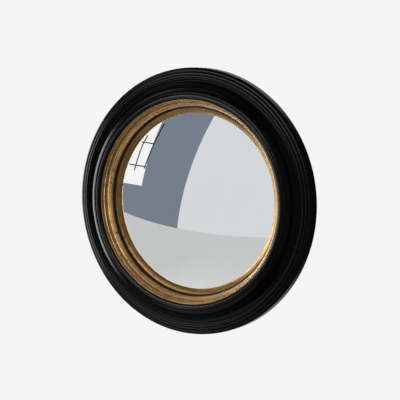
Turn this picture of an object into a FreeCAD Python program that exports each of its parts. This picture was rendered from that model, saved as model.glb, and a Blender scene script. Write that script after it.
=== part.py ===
import FreeCAD, Part
import Sketcher
import os

# Convex wall mirror in a stepped round frame: two black turned rings, two gilded rings,
# a domed silvered glass, and the back that holds and hangs it.
#
# Each piece is drawn about its own Z axis, which is the mirror's axis: "across" is the radius
# from that axis and "depth" is the height above the wall, growing towards the viewer.
# PLACE_ON_WALL then stands the mirror up: it faces -Y, its top is +Z, and the wall is y = 0.

PLACE_ON_WALL = FreeCAD.Placement(
    FreeCAD.Vector(0, 0, 0), FreeCAD.Rotation(FreeCAD.Vector(1, 0, 0), 90)
)

# ---------------------------------------------------------------- driving dimensions, mm

SIZES = {
    # widths of the frame's members, from the glass outwards
    "sight_radius": 128.5,       # visible glass
    "sight_face": 8.5,           # sloping face of the sight ring
    "shadow_gap": 1.5,           # dark gap between sight ring and gilt moulding
    "gilt_foot_width": 3.9,      # lower facet of the gilt slope
    "gilt_ogee_width": 3.4,      # upper, rounded facet of the gilt slope
    "gilt_bead_width": 3.5,
    "inner_bead_width": 8.3,     # black bead next to the gilding
    "quirk_width": 1.1,          # groove between inner bead and roll
    "roll_width": 8.5,
    "cove_width": 8.9,
    "step_foot_width": 2.1,      # step between cove and arris, with its small bead
    "step_bead_width": 1.7,
    "step_wall_width": 1.5,
    "arris_bead_width": 2.8,     # the thin line that stands out in the light
    "groove_width": 1.2,         # grooves on both sides of the reed
    "reed_width": 3.7,
    "rim_bead_width": 4.7,
    # rises and drops of the front, from the wall up to the rim and then inwards
    "rim_lift": 10.5,            # bevel behind the rim
    "rim_wall": 10.4,
    "rim_bead_rise": 5.4,
    "reed_rise": 1.7,
    "arris_rise": 1.9,
    "step_wall_drop": 1.9,
    "step_bead_drop": 1.0,
    "step_foot_drop": 1.6,
    "cove_rise": 11.3,
    "roll_rise": 8.2,
    "inner_bead_drop": 2.1,
    "gilt_bead_drop": 5.1,
    "gilt_ogee_drop": 5.2,
    "gilt_foot_drop": 7.5,
    "shadow_height": 2.5,
    "sight_drop": 5.5,
    # how far the rounds swell out and the hollows go in
    "rim_bead_swell": 1.5,
    "reed_swell": 0.6,
    "arris_swell": 0.8,
    "step_bead_swell": 0.4,
    "cove_hollow": 2.0,
    "roll_swell": 1.6,
    "inner_bead_swell": 1.6,
    "gilt_bead_swell": 1.2,
    "gilt_ogee_swell": 0.8,
    "gilt_foot_hollow": 0.4,
    "sight_swell": 0.6,
    "groove_depth": 0.7,
    "quirk_depth": 1.6,
    "gilt_quirk_depth": 0.5,
    # how the rings seat in each other
    "bevel_width": 8.0,
    "bearing_width": 22.0,       # ring of the back that touches the wall
    "crest_tenon": 5.2,          # how deep the crest moulding drops into the base moulding
    "gilt_lip": 0.8,             # thickness of the gilt moulding's inner edge
    "sight_flange_width": 4.6,
    "sight_flange_drop": 2.8,
    "sight_lip": 1.2,            # thickness of the sight ring at the glass
    "sight_spigot": 1.8,         # how deep the sight ring drops into the bore
    "glue_gap": 0.15,
    # glass and what holds it
    "dome_radius": 550.0,
    "glass_thickness": 3.0,
    "glass_lap": 5.5,            # glass hidden behind the sight ring
    "glass_play": 0.8,           # room round the glass in the bore
    "glass_bed": 0.05,           # felt and packing stay this far off the curved glass
    "felt_thickness": 0.8,
    "felt_setback": 0.6,
    "packing_width": 7.5,
    "packing_height": 1.0,
    "packing_setback": 0.5,
    "board_thickness": 3.0,
    "board_play": 0.4,
    # turn buttons
    "button_setback": 13.2,      # pivot, outwards from the bore
    "button_reach": 19.0,        # pivot to the middle of the rounded tip
    "button_heel_radius": 6.0,
    "button_tip_radius": 4.5,
    "button_thickness": 1.5,
    "button_clearance": 0.1,     # under the button
    "head_clearance": 0.05,      # between button and screw head
    "pivot_clearance": 0.06,
    "button_screw_radius": 1.75,
    "button_screw_length": 12.0,
    "pan_head_radius": 3.6,
    "pan_head_height": 1.9,
    # frame screws
    "frame_screw_radius": 2.0,
    "frame_screw_head_radius": 4.0,
    "frame_screw_length": 32.0,
    "pilot_play": 0.05,
    # hanger
    "notch_width": 26.0,
    "notch_land": 5.0,           # bearing ring left outside the notch
    "notch_corner": 5.0,
    "strap_setback": 2.0,        # eye of the strap, inwards from the bearing ring
    "strap_length": 26.0,
    "strap_width": 14.0,
    "strap_thickness": 1.8,
    "strap_neck_width": 9.0,
    "strap_neck_length": 4.4,
    "eye_wall": 0.9,
    "ring_wire_radius": 1.2,
    "ring_half_width": 9.0,
    "ring_corner": 4.0,
    "ring_leg": 6.0,             # bar to the middle of the round top
    "eye_clearance": 0.08,
    "hanger_screw_radius": 1.75,
    "hanger_screw_length": 11.8,
    "hanger_screw_offset": 8.5,  # first screw, inwards from the eye
    "hanger_screw_pitch": 10.5,
}
# shapes of the screws, as shares of the head's height and radius and of the shank's radius
PAN_HEAD_TOP_RADIUS = 0.55
PAN_HEAD_CROWN = 0.2
PAN_HEAD_WALL = 0.3
POINT_LENGTH = 2
BUTTON_COUNT = 6
FRAME_SCREW_COUNT = 8
# The frame screws stand half a step round from the top, clear of the hanger and the buttons.
FRAME_SCREW_SWING = 180 / FRAME_SCREW_COUNT

doc = FreeCAD.newDocument("convex_mirror")
sheet = doc.addObject("Spreadsheet::Sheet", "Sizes")
for row, (alias, size) in enumerate(SIZES.items(), start=1):
    sheet.set(f"A{row}", alias)
    sheet.set(f"B{row}", str(size))
    sheet.setAlias(f"B{row}", alias)
doc.recompute()


def size(alias):
    """Expression for one driving dimension."""
    return f"Sizes.{alias}"


def total(*terms):
    """Expression for a sum; a term that starts with a minus sign is taken away."""
    text = ""
    for term in terms:
        if term.startswith("-"):
            text += f" - ({term[1:]})"
        else:
            text += f" + ({term})"
    return text[3:] if text.startswith(" + ") else text


def number(expression):
    """Value of an expression now, in millimetres or as a count."""
    return float(sheet.evalExpression(expression))


# ---------------------------------------------------------------- radii and levels, as expressions

# Radii of the frame, from the glass outwards.
R_SIGHT = size("sight_radius")
R_SIGHT_TOP = total(R_SIGHT, size("sight_face"))
R_GILT_FOOT = total(R_SIGHT_TOP, size("shadow_gap"))
R_GILT_OGEE = total(R_GILT_FOOT, size("gilt_foot_width"))
R_GILT_QUIRK = total(R_GILT_OGEE, size("gilt_ogee_width"))
R_GILT_RIM = total(R_GILT_QUIRK, size("gilt_bead_width"))
R_INNER_BEAD = total(R_GILT_RIM, size("inner_bead_width"))
R_ROLL_TOP = total(R_INNER_BEAD, size("quirk_width"))
R_VALLEY = total(R_ROLL_TOP, size("roll_width"))
R_COVE_FOOT = total(R_VALLEY, size("cove_width"))
R_STEP_BEAD_IN = total(R_COVE_FOOT, size("step_foot_width"))
R_STEP_BEAD_OUT = total(R_STEP_BEAD_IN, size("step_bead_width"))
R_ARRIS_IN = total(R_STEP_BEAD_OUT, size("step_wall_width"))
R_ARRIS_OUT = total(R_ARRIS_IN, size("arris_bead_width"))
R_REED_IN = total(R_ARRIS_OUT, size("groove_width"))
R_REED_OUT = total(R_REED_IN, size("reed_width"))
R_RIM_BEAD = total(R_REED_OUT, size("groove_width"))
R_RIM = total(R_RIM_BEAD, size("rim_bead_width"))
R_BACK = total(R_RIM, "-" + size("bevel_width"))
R_RECESS = total(R_BACK, "-" + size("bearing_width"))
R_SIGHT_FLANGE = total(R_SIGHT_TOP, size("sight_flange_width"))
R_GLASS = total(R_SIGHT, size("glass_lap"))
R_BORE = total(R_GLASS, size("glass_play"))
R_BOARD = total(R_BORE, "-" + size("board_play"))
R_FELT_IN = total(R_SIGHT, size("felt_setback"))
R_PACKING_OUT = total(R_GLASS, "-" + size("packing_setback"))
R_PACKING_IN = total(R_PACKING_OUT, "-" + size("packing_width"))
R_PIVOT = total(R_BORE, size("button_setback"))
R_FRAME_SCREW = f"(({R_GILT_RIM}) + ({R_VALLEY})) / 2"
R_EYE = total(R_RECESS, "-" + size("strap_setback"))

# Depths of the front, from the wall up the rim and then inwards.
D_RIM_TOP = total(size("rim_lift"), size("rim_wall"))
D_REED = total(D_RIM_TOP, size("rim_bead_rise"))
D_ARRIS = total(D_REED, size("reed_rise"))
D_ARRIS_TOP = total(D_ARRIS, size("arris_rise"))
D_STEP_BEAD = total(D_ARRIS_TOP, "-" + size("step_wall_drop"))
D_STEP_FOOT = total(D_STEP_BEAD, "-" + size("step_bead_drop"))
D_COVE_FOOT = total(D_STEP_FOOT, "-" + size("step_foot_drop"))
D_VALLEY = total(D_COVE_FOOT, size("cove_rise"))
D_ROLL_TOP = total(D_VALLEY, size("roll_rise"))
D_GILT_RIM = total(D_ROLL_TOP, "-" + size("inner_bead_drop"))
D_GILT_QUIRK = total(D_GILT_RIM, "-" + size("gilt_bead_drop"))
D_GILT_OGEE = total(D_GILT_QUIRK, "-" + size("gilt_ogee_drop"))
D_GILT_FOOT = total(D_GILT_OGEE, "-" + size("gilt_foot_drop"))
D_SIGHT_TOP = total(D_GILT_FOOT, "-" + size("shadow_height"))
D_SIGHT = total(D_SIGHT_TOP, "-" + size("sight_drop"))

# Seats between the rings.
D_CREST_SEAT = total(D_VALLEY, "-" + size("crest_tenon"))
D_GILT_SEAT = total(D_GILT_FOOT, "-" + size("gilt_lip"))
D_SIGHT_FLANGE = total(D_SIGHT_TOP, "-" + size("sight_flange_drop"))
D_SIGHT_UNDER = total(D_SIGHT, "-" + size("sight_lip"))
D_SIGHT_LEDGE = total(D_SIGHT_UNDER, size("sight_spigot"))

# The glass is a shell between two spheres about one centre on the axis; the front one passes
# through the sight edge, below the felt.
D_GLASS_SIGHT = total(D_SIGHT_UNDER, "-" + size("felt_thickness"))
FRONT_SPHERE = size("dome_radius")
REAR_SPHERE = total(FRONT_SPHERE, "-" + size("glass_thickness"))


def on_sphere(sphere, radius):
    """Depth of a sphere about the glass's centre, at a radius from the mirror's axis."""
    drop_at_sight = f"sqrt(({FRONT_SPHERE})^2 - ({R_SIGHT})^2)"
    return total(D_GLASS_SIGHT, "-" + drop_at_sight, f"sqrt(({sphere})^2 - ({radius})^2)")


# The back is stacked behind the glass: packing, board, and the recess floor flush with it.
D_BOARD_FRONT = total(on_sphere(REAR_SPHERE, R_GLASS), "-" + size("packing_height"))
D_FLOOR = total(D_BOARD_FRONT, "-" + size("board_thickness"))

# The turn buttons, their screw heads and the hanger's strap stand behind the recess floor.
D_BUTTON_FRONT = total(D_FLOOR, "-" + size("button_clearance"))
D_BUTTON_REAR = total(D_BUTTON_FRONT, "-" + size("button_thickness"))
D_BUTTON_HEAD = total(D_BUTTON_REAR, "-" + size("head_clearance"))
D_STRAP_REAR = total(D_FLOOR, "-" + size("strap_thickness"))

# Distances of the two hanger screws from the mirror's axis.
R_HANGER_SCREW_OUT = total(R_EYE, "-" + size("hanger_screw_offset"))
R_HANGER_SCREW_IN = total(R_HANGER_SCREW_OUT, "-" + size("hanger_screw_pitch"))


# ---------------------------------------------------------------- drawing helpers

def origin_feature(body, role):
    """A body's own origin plane or axis."""
    return next(item for item in body.Origin.OriginFeatures if item.Role == role)


def new_body(label):
    body = doc.addObject("PartDesign::Body", label)
    body.Label = label
    return body


def new_sketch(body, name, plane="XZ_Plane"):
    sketch = body.newObject("Sketcher::SketchObject", name)
    sketch.AttachmentSupport = (origin_feature(body, plane), [""])
    sketch.MapMode = "FlatFace"
    return sketch


def shift_sketch(sketch, across="0", along="0", height="0", swing=0):
    """Move a sketch along its own X and Y and its normal, and swing it about the mirror's axis."""
    sketch.AttachmentOffset = FreeCAD.Placement(
        FreeCAD.Vector(), FreeCAD.Rotation(FreeCAD.Vector(0, 1, 0), swing))
    sketch.setExpression("AttachmentOffset.Base.x", f"({across}) * cos({swing} deg)")
    sketch.setExpression("AttachmentOffset.Base.y", along)
    sketch.setExpression("AttachmentOffset.Base.z", f"({height}) - ({across}) * sin({swing} deg)")


def arc_rise(edge, chord):
    """How far an arc stands off its chord: stated as such, or worked out from its radius."""
    kind, expression = edge
    if kind in ("swell", "hollow"):
        return number(expression)
    radius = number(expression)
    return radius - (radius ** 2 - chord ** 2 / 4) ** 0.5


def arc_radius(edge, start, end):
    """Expression for an arc's radius, from its rise over the chord or as stated."""
    kind, expression = edge
    if kind in ("dome", "bowl"):
        return expression
    chord_squared = f"(({end[0]}) - ({start[0]}))^2 + (({end[1]}) - ({start[1]}))^2"
    return f"({chord_squared}) / (8 * ({expression})) + ({expression}) / 2"


def draw_outline(sketch, corners):
    """Closed outline, anticlockwise. A corner is (x, y) or (x, y, edge), with x and y as
    expressions; edge shapes the way to the next corner: ("swell", rise) and ("dome", radius)
    bend outwards, ("hollow", rise) and ("bowl", radius) inwards, and without it the way is straight."""
    spots = [FreeCAD.Vector(number(corner[0]), number(corner[1]), 0) for corner in corners]
    following = corners[1:] + corners[:1]
    starts, ends, radii = [], [], []
    for index, corner in enumerate(corners):
        here, there = spots[index], spots[(index + 1) % len(spots)]
        if len(corner) == 2:
            edge = sketch.addGeometry(Part.LineSegment(here, there))
            starts.append((edge, 1))
            ends.append((edge, 2))
            continue
        outwards = corner[2][0] in ("swell", "dome")
        chord = there - here
        rise = arc_rise(corner[2], chord.Length)
        radius = (chord.Length ** 2 / 4 + rise ** 2) / (2 * rise)
        aside = FreeCAD.Vector(chord.y, -chord.x, 0).normalize() * (1 if outwards else -1)
        middle = (here + there) * 0.5 - aside * (radius - rise)
        first, last = (here, there) if outwards else (there, here)
        x_axis = FreeCAD.Vector(1, 0, 0)
        turn = [(spot - middle).getAngle(x_axis) * (1 if spot.y >= middle.y else -1)
                for spot in (first, last)]
        circle = Part.Circle(middle, FreeCAD.Vector(0, 0, 1), radius)
        edge = sketch.addGeometry(Part.ArcOfCircle(circle, turn[0], turn[1]))
        starts.append((edge, 1 if outwards else 2))
        ends.append((edge, 2 if outwards else 1))
        radii.append((edge, radius, arc_radius(corner[2], corner, following[index])))
    for index, end in enumerate(ends):
        start = starts[(index + 1) % len(starts)]
        sketch.addConstraint(Sketcher.Constraint("Coincident", *end, *start))
    for corner, start in zip(corners, starts):
        bind(sketch, "DistanceX", start, corner[0], -2)
        bind(sketch, "DistanceY", start, corner[1], -1)
    for edge, radius, expression in radii:
        rule = sketch.addConstraint(Sketcher.Constraint("Radius", edge, radius))
        sketch.setExpression(f"Constraints[{rule}]", expression)


def bind(sketch, kind, point, expression, axis):
    """Tie a point's distance from the sketch origin to an expression, or put it on the axis."""
    distance = number(expression)
    if expression == "0":
        sketch.addConstraint(Sketcher.Constraint("PointOnObject", *point, axis))
        return
    if distance >= 0:
        rule = sketch.addConstraint(Sketcher.Constraint(kind, -1, 1, *point, distance))
    else:
        rule = sketch.addConstraint(Sketcher.Constraint(kind, *point, -1, 1, -distance))
        expression = f"-({expression})"
    sketch.setExpression(f"Constraints[{rule}]", expression)


def draw_circle(sketch, x, y, radius):
    """Circle about a point, all three as expressions."""
    middle = FreeCAD.Vector(number(x), number(y), 0)
    edge = sketch.addGeometry(Part.Circle(middle, FreeCAD.Vector(0, 0, 1), number(radius)))
    bind(sketch, "DistanceX", (edge, 3), x, -2)
    bind(sketch, "DistanceY", (edge, 3), y, -1)
    rule = sketch.addConstraint(Sketcher.Constraint("Radius", edge, number(radius)))
    sketch.setExpression(f"Constraints[{rule}]", radius)


def turn(body, name, corners, cut=False, plane="XZ_Plane", **shift):
    """Turn an outline about the upright axis of its sketch, as a solid or as a cut."""
    sketch = new_sketch(body, name + "_outline", plane)
    shift_sketch(sketch, **shift)
    draw_outline(sketch, corners)
    feature = body.newObject("PartDesign::Groove" if cut else "PartDesign::Revolution", name)
    feature.Profile = sketch
    feature.ReferenceAxis = (sketch, ["V_Axis"])
    feature.Angle = 360
    return feature


def around(body, feature, count):
    """Repeat a feature evenly about the mirror's axis."""
    pattern = body.newObject("PartDesign::PolarPattern", feature.Name + "_pattern")
    pattern.Originals = [feature]
    pattern.Axis = (origin_feature(body, "Z_Axis"), [""])
    pattern.Angle = 360
    pattern.Occurrences = count
    body.Tip = pattern
    return pattern


def pad(body, sketch, name, length, midplane=False, reverse=False):
    feature = body.newObject("PartDesign::Pad", name)
    feature.Profile = sketch
    feature.setExpression("Length", length)
    feature.Midplane = midplane
    feature.Reversed = reverse
    return feature


def cut_through(body, sketch, name):
    """Cut a sketch right through the body, both ways."""
    feature = body.newObject("PartDesign::Pocket", name)
    feature.Profile = sketch
    feature.Type = "ThroughAll"
    feature.Midplane = True
    return feature


def screw_shank(radius, length, head_side):
    """Corners of a wood screw's shank and point, from under the head to the axis."""
    return [
        (radius, head_side),
        (radius, f"({length}) - {POINT_LENGTH} * ({radius})"),
        ("0", length),
    ]


def pan_head_screw(shank_radius, length):
    """Half outline of a pan-head screw; depth 0 is under the head, the point is at +length."""
    head_radius, head_height = size("pan_head_radius"), size("pan_head_height")
    crown = ("swell", f"({head_height}) * {PAN_HEAD_CROWN}")
    return [
        ("0", f"-({head_height})"),
        (f"({head_radius}) * {PAN_HEAD_TOP_RADIUS}", f"-({head_height})", crown),
        (head_radius, f"-({head_height}) * {PAN_HEAD_WALL}"),
        (head_radius, "0"),
        *screw_shank(shank_radius, length, "0"),
    ]


def pilot_hole(shank_radius, length, mouth, floor):
    """Half outline of the hole for a screw's shank: mouth is the depth of the head's underside."""
    play = size("pilot_play")
    end = total(mouth, length, play)
    radius = total(shank_radius, play)
    return [("0", floor), (radius, floor), (radius, end), ("0", end)]


# ---------------------------------------------------------------- the frame's rings

def base_moulding():
    """Black outer ring: bevel, rim wall, reeded band, step and cove in front; seats for the other
    rings inside; bearing ring, recess, hanger notch and screw holes behind."""
    body = new_body("base_moulding")
    groove_middle_in = f"({R_ARRIS_OUT}) + {size('groove_width')} / 2"
    groove_middle_out = f"({R_REED_OUT}) + {size('groove_width')} / 2"
    turn(body, "ring", [
        (R_RECESS, "0"),
        (R_BACK, "0"),
        (R_RIM, size("rim_lift")),
        (R_RIM, D_RIM_TOP, ("swell", size("rim_bead_swell"))),
        (R_RIM_BEAD, D_REED),
        (groove_middle_out, total(D_REED, "-" + size("groove_depth"))),
        (R_REED_OUT, D_REED, ("swell", size("reed_swell"))),
        (R_REED_IN, D_ARRIS),
        (groove_middle_in, total(D_ARRIS, "-" + size("groove_depth"))),
        (R_ARRIS_OUT, D_ARRIS, ("swell", size("arris_swell"))),
        (R_ARRIS_IN, D_ARRIS_TOP),
        (R_STEP_BEAD_OUT, D_STEP_BEAD, ("swell", size("step_bead_swell"))),
        (R_STEP_BEAD_IN, D_STEP_FOOT),
        (R_COVE_FOOT, D_COVE_FOOT, ("hollow", size("cove_hollow"))),
        (R_VALLEY, D_VALLEY),
        (R_VALLEY, D_CREST_SEAT),
        (total(R_GILT_RIM, size("glue_gap")), D_CREST_SEAT),
        (total(R_GILT_RIM, size("glue_gap")), D_GILT_SEAT),
        (total(R_SIGHT_FLANGE, size("glue_gap")), D_GILT_SEAT),
        (total(R_SIGHT_FLANGE, size("glue_gap")), D_SIGHT_LEDGE),
        (R_BORE, D_SIGHT_LEDGE),
        (R_BORE, D_FLOOR),
        (R_RECESS, D_FLOOR),
    ])
    notch = new_sketch(body, "notch_outline", "XY_Plane")
    half = f"{size('notch_width')} / 2"
    corner = size("notch_corner")
    outer = total(R_BACK, "-" + size("notch_land"))
    bend = ("swell", f"({corner}) * (1 - sqrt(0.5))")
    draw_outline(notch, [
        (f"-({half})", R_EYE),
        (half, R_EYE),
        (half, f"({outer}) - ({corner})", bend),
        (f"({half}) - ({corner})", outer),
        (f"-(({half}) - ({corner}))", outer, bend),
        (f"-({half})", f"({outer}) - ({corner})"),
    ])
    pocket = body.newObject("PartDesign::Pocket", "notch")
    pocket.Profile = notch
    pocket.setExpression("Length", D_FLOOR)
    pocket.Reversed = True
    screw_seat = turn(body, "frame_screw_hole", countersunk_hole(), cut=True,
                      across=R_FRAME_SCREW, swing=FRAME_SCREW_SWING)
    around(body, screw_seat, FRAME_SCREW_COUNT)
    button_hole = turn(
        body, "button_screw_hole",
        pilot_hole(size("button_screw_radius"), size("button_screw_length"), D_BUTTON_HEAD, D_FLOOR),
        cut=True, across=R_PIVOT,
    )
    around(body, button_hole, BUTTON_COUNT)
    for index, place in enumerate((R_HANGER_SCREW_OUT, R_HANGER_SCREW_IN), start=1):
        turn(
            body, f"hanger_screw_hole_{index}",
            pilot_hole(size("hanger_screw_radius"), size("hanger_screw_length"), D_STRAP_REAR, D_FLOOR),
            cut=True, plane="YZ_Plane", across=place,
        )
    return body


def countersunk_hole():
    """Half outline of a frame screw's hole in the base moulding, from the recess floor up."""
    play = size("pilot_play")
    head = total(size("frame_screw_head_radius"), play)
    shank = total(size("frame_screw_radius"), play)
    cone_end = total(D_FLOOR, size("frame_screw_head_radius"), "-" + size("frame_screw_radius"))
    return [("0", D_FLOOR), (head, D_FLOOR), (shank, cone_end),
            (shank, D_CREST_SEAT), ("0", D_CREST_SEAT)]


def crest_moulding():
    """Black ring seated in the base moulding: inner bead, quirk and roll, with pilot holes below."""
    body = new_body("crest_moulding")
    outside = total(R_VALLEY, "-" + size("glue_gap"))
    inside = total(R_GILT_RIM, size("glue_gap"))
    quirk_middle = f"({R_INNER_BEAD}) + {size('quirk_width')} / 2"
    quirk_inner_edge = f"({D_ROLL_TOP}) - {size('quirk_depth')} / 2"
    turn(body, "ring", [
        (inside, D_CREST_SEAT),
        (outside, D_CREST_SEAT),
        (outside, D_VALLEY, ("swell", size("roll_swell"))),
        (R_ROLL_TOP, D_ROLL_TOP),
        (quirk_middle, total(D_ROLL_TOP, "-" + size("quirk_depth"))),
        (R_INNER_BEAD, quirk_inner_edge, ("swell", size("inner_bead_swell"))),
        (inside, D_GILT_RIM),
    ])
    play = size("pilot_play")
    radius = total(size("frame_screw_radius"), play)
    end = total(D_FLOOR, size("frame_screw_length"), play)
    hole = turn(body, "pilot_hole", [
        ("0", D_CREST_SEAT), (radius, D_CREST_SEAT), (radius, end), ("0", end),
    ], cut=True, across=R_FRAME_SCREW, swing=FRAME_SCREW_SWING)
    around(body, hole, FRAME_SCREW_COUNT)
    return body


def gilt_moulding():
    """Gilded ring inside the crest moulding: bead, quirk and a rounded slope down to its thin foot."""
    body = new_body("gilt_moulding")
    quirk = size("gilt_quirk_depth")
    turn(body, "ring", [
        (R_GILT_FOOT, D_GILT_SEAT),
        (R_GILT_RIM, D_GILT_SEAT),
        (R_GILT_RIM, D_GILT_RIM, ("swell", size("gilt_bead_swell"))),
        (R_GILT_QUIRK, total(D_GILT_QUIRK, quirk)),
        (f"({R_GILT_QUIRK}) + {quirk} / 2", f"({D_GILT_QUIRK}) - {quirk} / 2"),
        (total(R_GILT_QUIRK, "-" + quirk), total(D_GILT_QUIRK, "-" + quirk),
         ("swell", size("gilt_ogee_swell"))),
        (R_GILT_OGEE, D_GILT_OGEE, ("hollow", size("gilt_foot_hollow"))),
        (R_GILT_FOOT, D_GILT_FOOT),
    ])
    return body


def sight_ring():
    """Inner gilded slip: sloping face, flange under the gilt moulding, spigot in the bore."""
    body = new_body("sight_ring")
    spigot = total(R_BORE, "-" + size("glue_gap"))
    turn(body, "ring", [
        (R_SIGHT, D_SIGHT_UNDER),
        (spigot, D_SIGHT_UNDER),
        (spigot, D_SIGHT_LEDGE),
        (R_SIGHT_FLANGE, D_SIGHT_LEDGE),
        (R_SIGHT_FLANGE, D_SIGHT_FLANGE),
        (R_SIGHT_TOP, D_SIGHT_FLANGE),
        (R_SIGHT_TOP, D_SIGHT_TOP, ("swell", size("sight_swell"))),
        (R_SIGHT, D_SIGHT),
    ])
    return body


# ---------------------------------------------------------------- glass and backing

def mirror_glass():
    """Domed silvered glass, a shell between two spheres about one centre."""
    body = new_body("mirror_glass")
    turn(body, "dome", [
        ("0", on_sphere(REAR_SPHERE, "0"), ("bowl", REAR_SPHERE)),
        (R_GLASS, on_sphere(REAR_SPHERE, R_GLASS)),
        (R_GLASS, on_sphere(FRONT_SPHERE, R_GLASS), ("dome", FRONT_SPHERE)),
        ("0", on_sphere(FRONT_SPHERE, "0")),
    ])
    return body


def glass_felt():
    """Felt strip between the sight ring's flat underside and the domed glass."""
    body = new_body("glass_felt")
    sphere = total(FRONT_SPHERE, size("glass_bed"))
    outside = total(R_GLASS, "-" + size("felt_setback"))
    turn(body, "strip", [
        (R_FELT_IN, on_sphere(sphere, R_FELT_IN), ("bowl", sphere)),
        (outside, on_sphere(sphere, outside)),
        (outside, D_SIGHT_UNDER),
        (R_FELT_IN, D_SIGHT_UNDER),
    ])
    return body


def packing_ring():
    """Foam ring that stands on the backboard and presses the glass forward."""
    body = new_body("packing_ring")
    sphere = total(REAR_SPHERE, "-" + size("glass_bed"))
    turn(body, "strip", [
        (R_PACKING_IN, D_BOARD_FRONT),
        (R_PACKING_OUT, D_BOARD_FRONT),
        (R_PACKING_OUT, on_sphere(sphere, R_PACKING_OUT), ("dome", sphere)),
        (R_PACKING_IN, on_sphere(sphere, R_PACKING_IN)),
    ])
    return body


def backboard():
    """Hardboard disc, flush with the recess floor."""
    body = new_body("backboard")
    sketch = new_sketch(body, "disc_outline", "XY_Plane")
    shift_sketch(sketch, height=D_FLOOR)
    draw_circle(sketch, "0", "0", R_BOARD)
    pad(body, sketch, "disc", size("board_thickness"))
    return body


# ---------------------------------------------------------------- turn buttons and screws

def turn_button(index):
    """Flat steel button: round heel on the pivot screw, sides tapering to a round tip.
    It is drawn with the pivot at its origin and its tip along -X, towards the mirror's axis."""
    body = new_body(f"turn_button_{index + 1}")
    heel, tip = size("button_heel_radius"), size("button_tip_radius")
    reach = size("button_reach")
    # The straight sides are common tangents of the heel and tip circles, which lean by this much.
    lean = f"(({heel}) - ({tip})) / ({reach})"
    up = f"sqrt(1 - ({lean})^2)"
    sketch = new_sketch(body, "button_outline", "XY_Plane")
    draw_outline(sketch, [
        (heel, "0", ("dome", heel)),
        (f"-({heel}) * ({lean})", f"({heel}) * ({up})"),
        (f"-({reach}) - ({tip}) * ({lean})", f"({tip}) * ({up})", ("dome", tip)),
        (f"-({reach}) - ({tip})", "0", ("dome", tip)),
        (f"-({reach}) - ({tip}) * ({lean})", f"-({tip}) * ({up})"),
        (f"-({heel}) * ({lean})", f"-({heel}) * ({up})", ("dome", heel)),
    ])
    pad(body, sketch, "plate", size("button_thickness"))
    doc.recompute()
    hole = new_sketch(body, "pivot_outline", "XY_Plane")
    draw_circle(hole, "0", "0", total(size("button_screw_radius"), size("pivot_clearance")))
    cut_through(body, hole, "pivot_hole")
    turned = FreeCAD.Rotation(FreeCAD.Vector(0, 0, 1), 360 * index / BUTTON_COUNT)
    pivot = turned.multVec(FreeCAD.Vector(number(R_PIVOT), 0, number(D_BUTTON_REAR)))
    return body, FreeCAD.Placement(pivot, turned)


def turn_button_screws():
    """Six pan-head screws on which the buttons turn."""
    body = new_body("turn_button_screws")
    corners = pan_head_screw(size("button_screw_radius"), size("button_screw_length"))
    screw = turn(body, "screw", corners, across=R_PIVOT, along=D_BUTTON_HEAD)
    around(body, screw, BUTTON_COUNT)
    return body


def frame_screws():
    """Eight countersunk screws that draw the crest moulding down into the base moulding."""
    body = new_body("frame_screws")
    head, shank = size("frame_screw_head_radius"), size("frame_screw_radius")
    screw = turn(body, "screw", [
        ("0", "0"),
        (head, "0"),
        *screw_shank(shank, size("frame_screw_length"), f"({head}) - ({shank})"),
    ], across=R_FRAME_SCREW, along=D_FLOOR, swing=FRAME_SCREW_SWING)
    around(body, screw, FRAME_SCREW_COUNT)
    return body


# ---------------------------------------------------------------- hanger

EYE_OUTER = total(size("ring_wire_radius"), size("eye_clearance"), size("eye_wall"))


def hanger_strap():
    """Folded steel strap: plate on the recess floor and a rolled eye at its outer end.
    Drawn with the eye above its origin, the plate along -Y and the recess floor at depth 0."""
    body = new_body("hanger_strap")
    half, neck = f"{size('strap_width')} / 2", f"{size('strap_neck_width')} / 2"
    round_middle = f"{size('strap_length')} - ({half})"
    sketch = new_sketch(body, "plate_outline", "XY_Plane")
    draw_outline(sketch, [
        (f"-({half})", f"-({round_middle})", ("dome", half)),
        ("0", f"-{size('strap_length')}", ("dome", half)),
        (half, f"-({round_middle})"),
        (half, f"-2 * {size('strap_neck_length')}"),
        (neck, f"-{size('strap_neck_length')}"),
        (neck, "0"),
        (f"-({neck})", "0"),
        (f"-({neck})", f"-{size('strap_neck_length')}"),
        (f"-({half})", f"-2 * {size('strap_neck_length')}"),
    ])
    pad(body, sketch, "plate", size("strap_thickness"), reverse=True)
    eye = new_sketch(body, "eye_outline", "YZ_Plane")
    draw_circle(eye, "0", f"-({EYE_OUTER})", EYE_OUTER)
    pad(body, eye, "eye", size("strap_neck_width"), midplane=True)
    doc.recompute()
    bore = new_sketch(body, "eye_bore_outline", "YZ_Plane")
    draw_circle(bore, "0", f"-({EYE_OUTER})", total(size("ring_wire_radius"), size("eye_clearance")))
    cut_through(body, bore, "eye_bore")
    holes = new_sketch(body, "screw_hole_outline", "XY_Plane")
    first = size("hanger_screw_offset")
    for offset in (first, f"({first}) + {size('hanger_screw_pitch')}"):
        draw_circle(holes, "0", f"-({offset})", total(size("hanger_screw_radius"), size("pilot_play")))
    cut_through(body, holes, "screw_holes")
    return body, hanger_placement(0)


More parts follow.
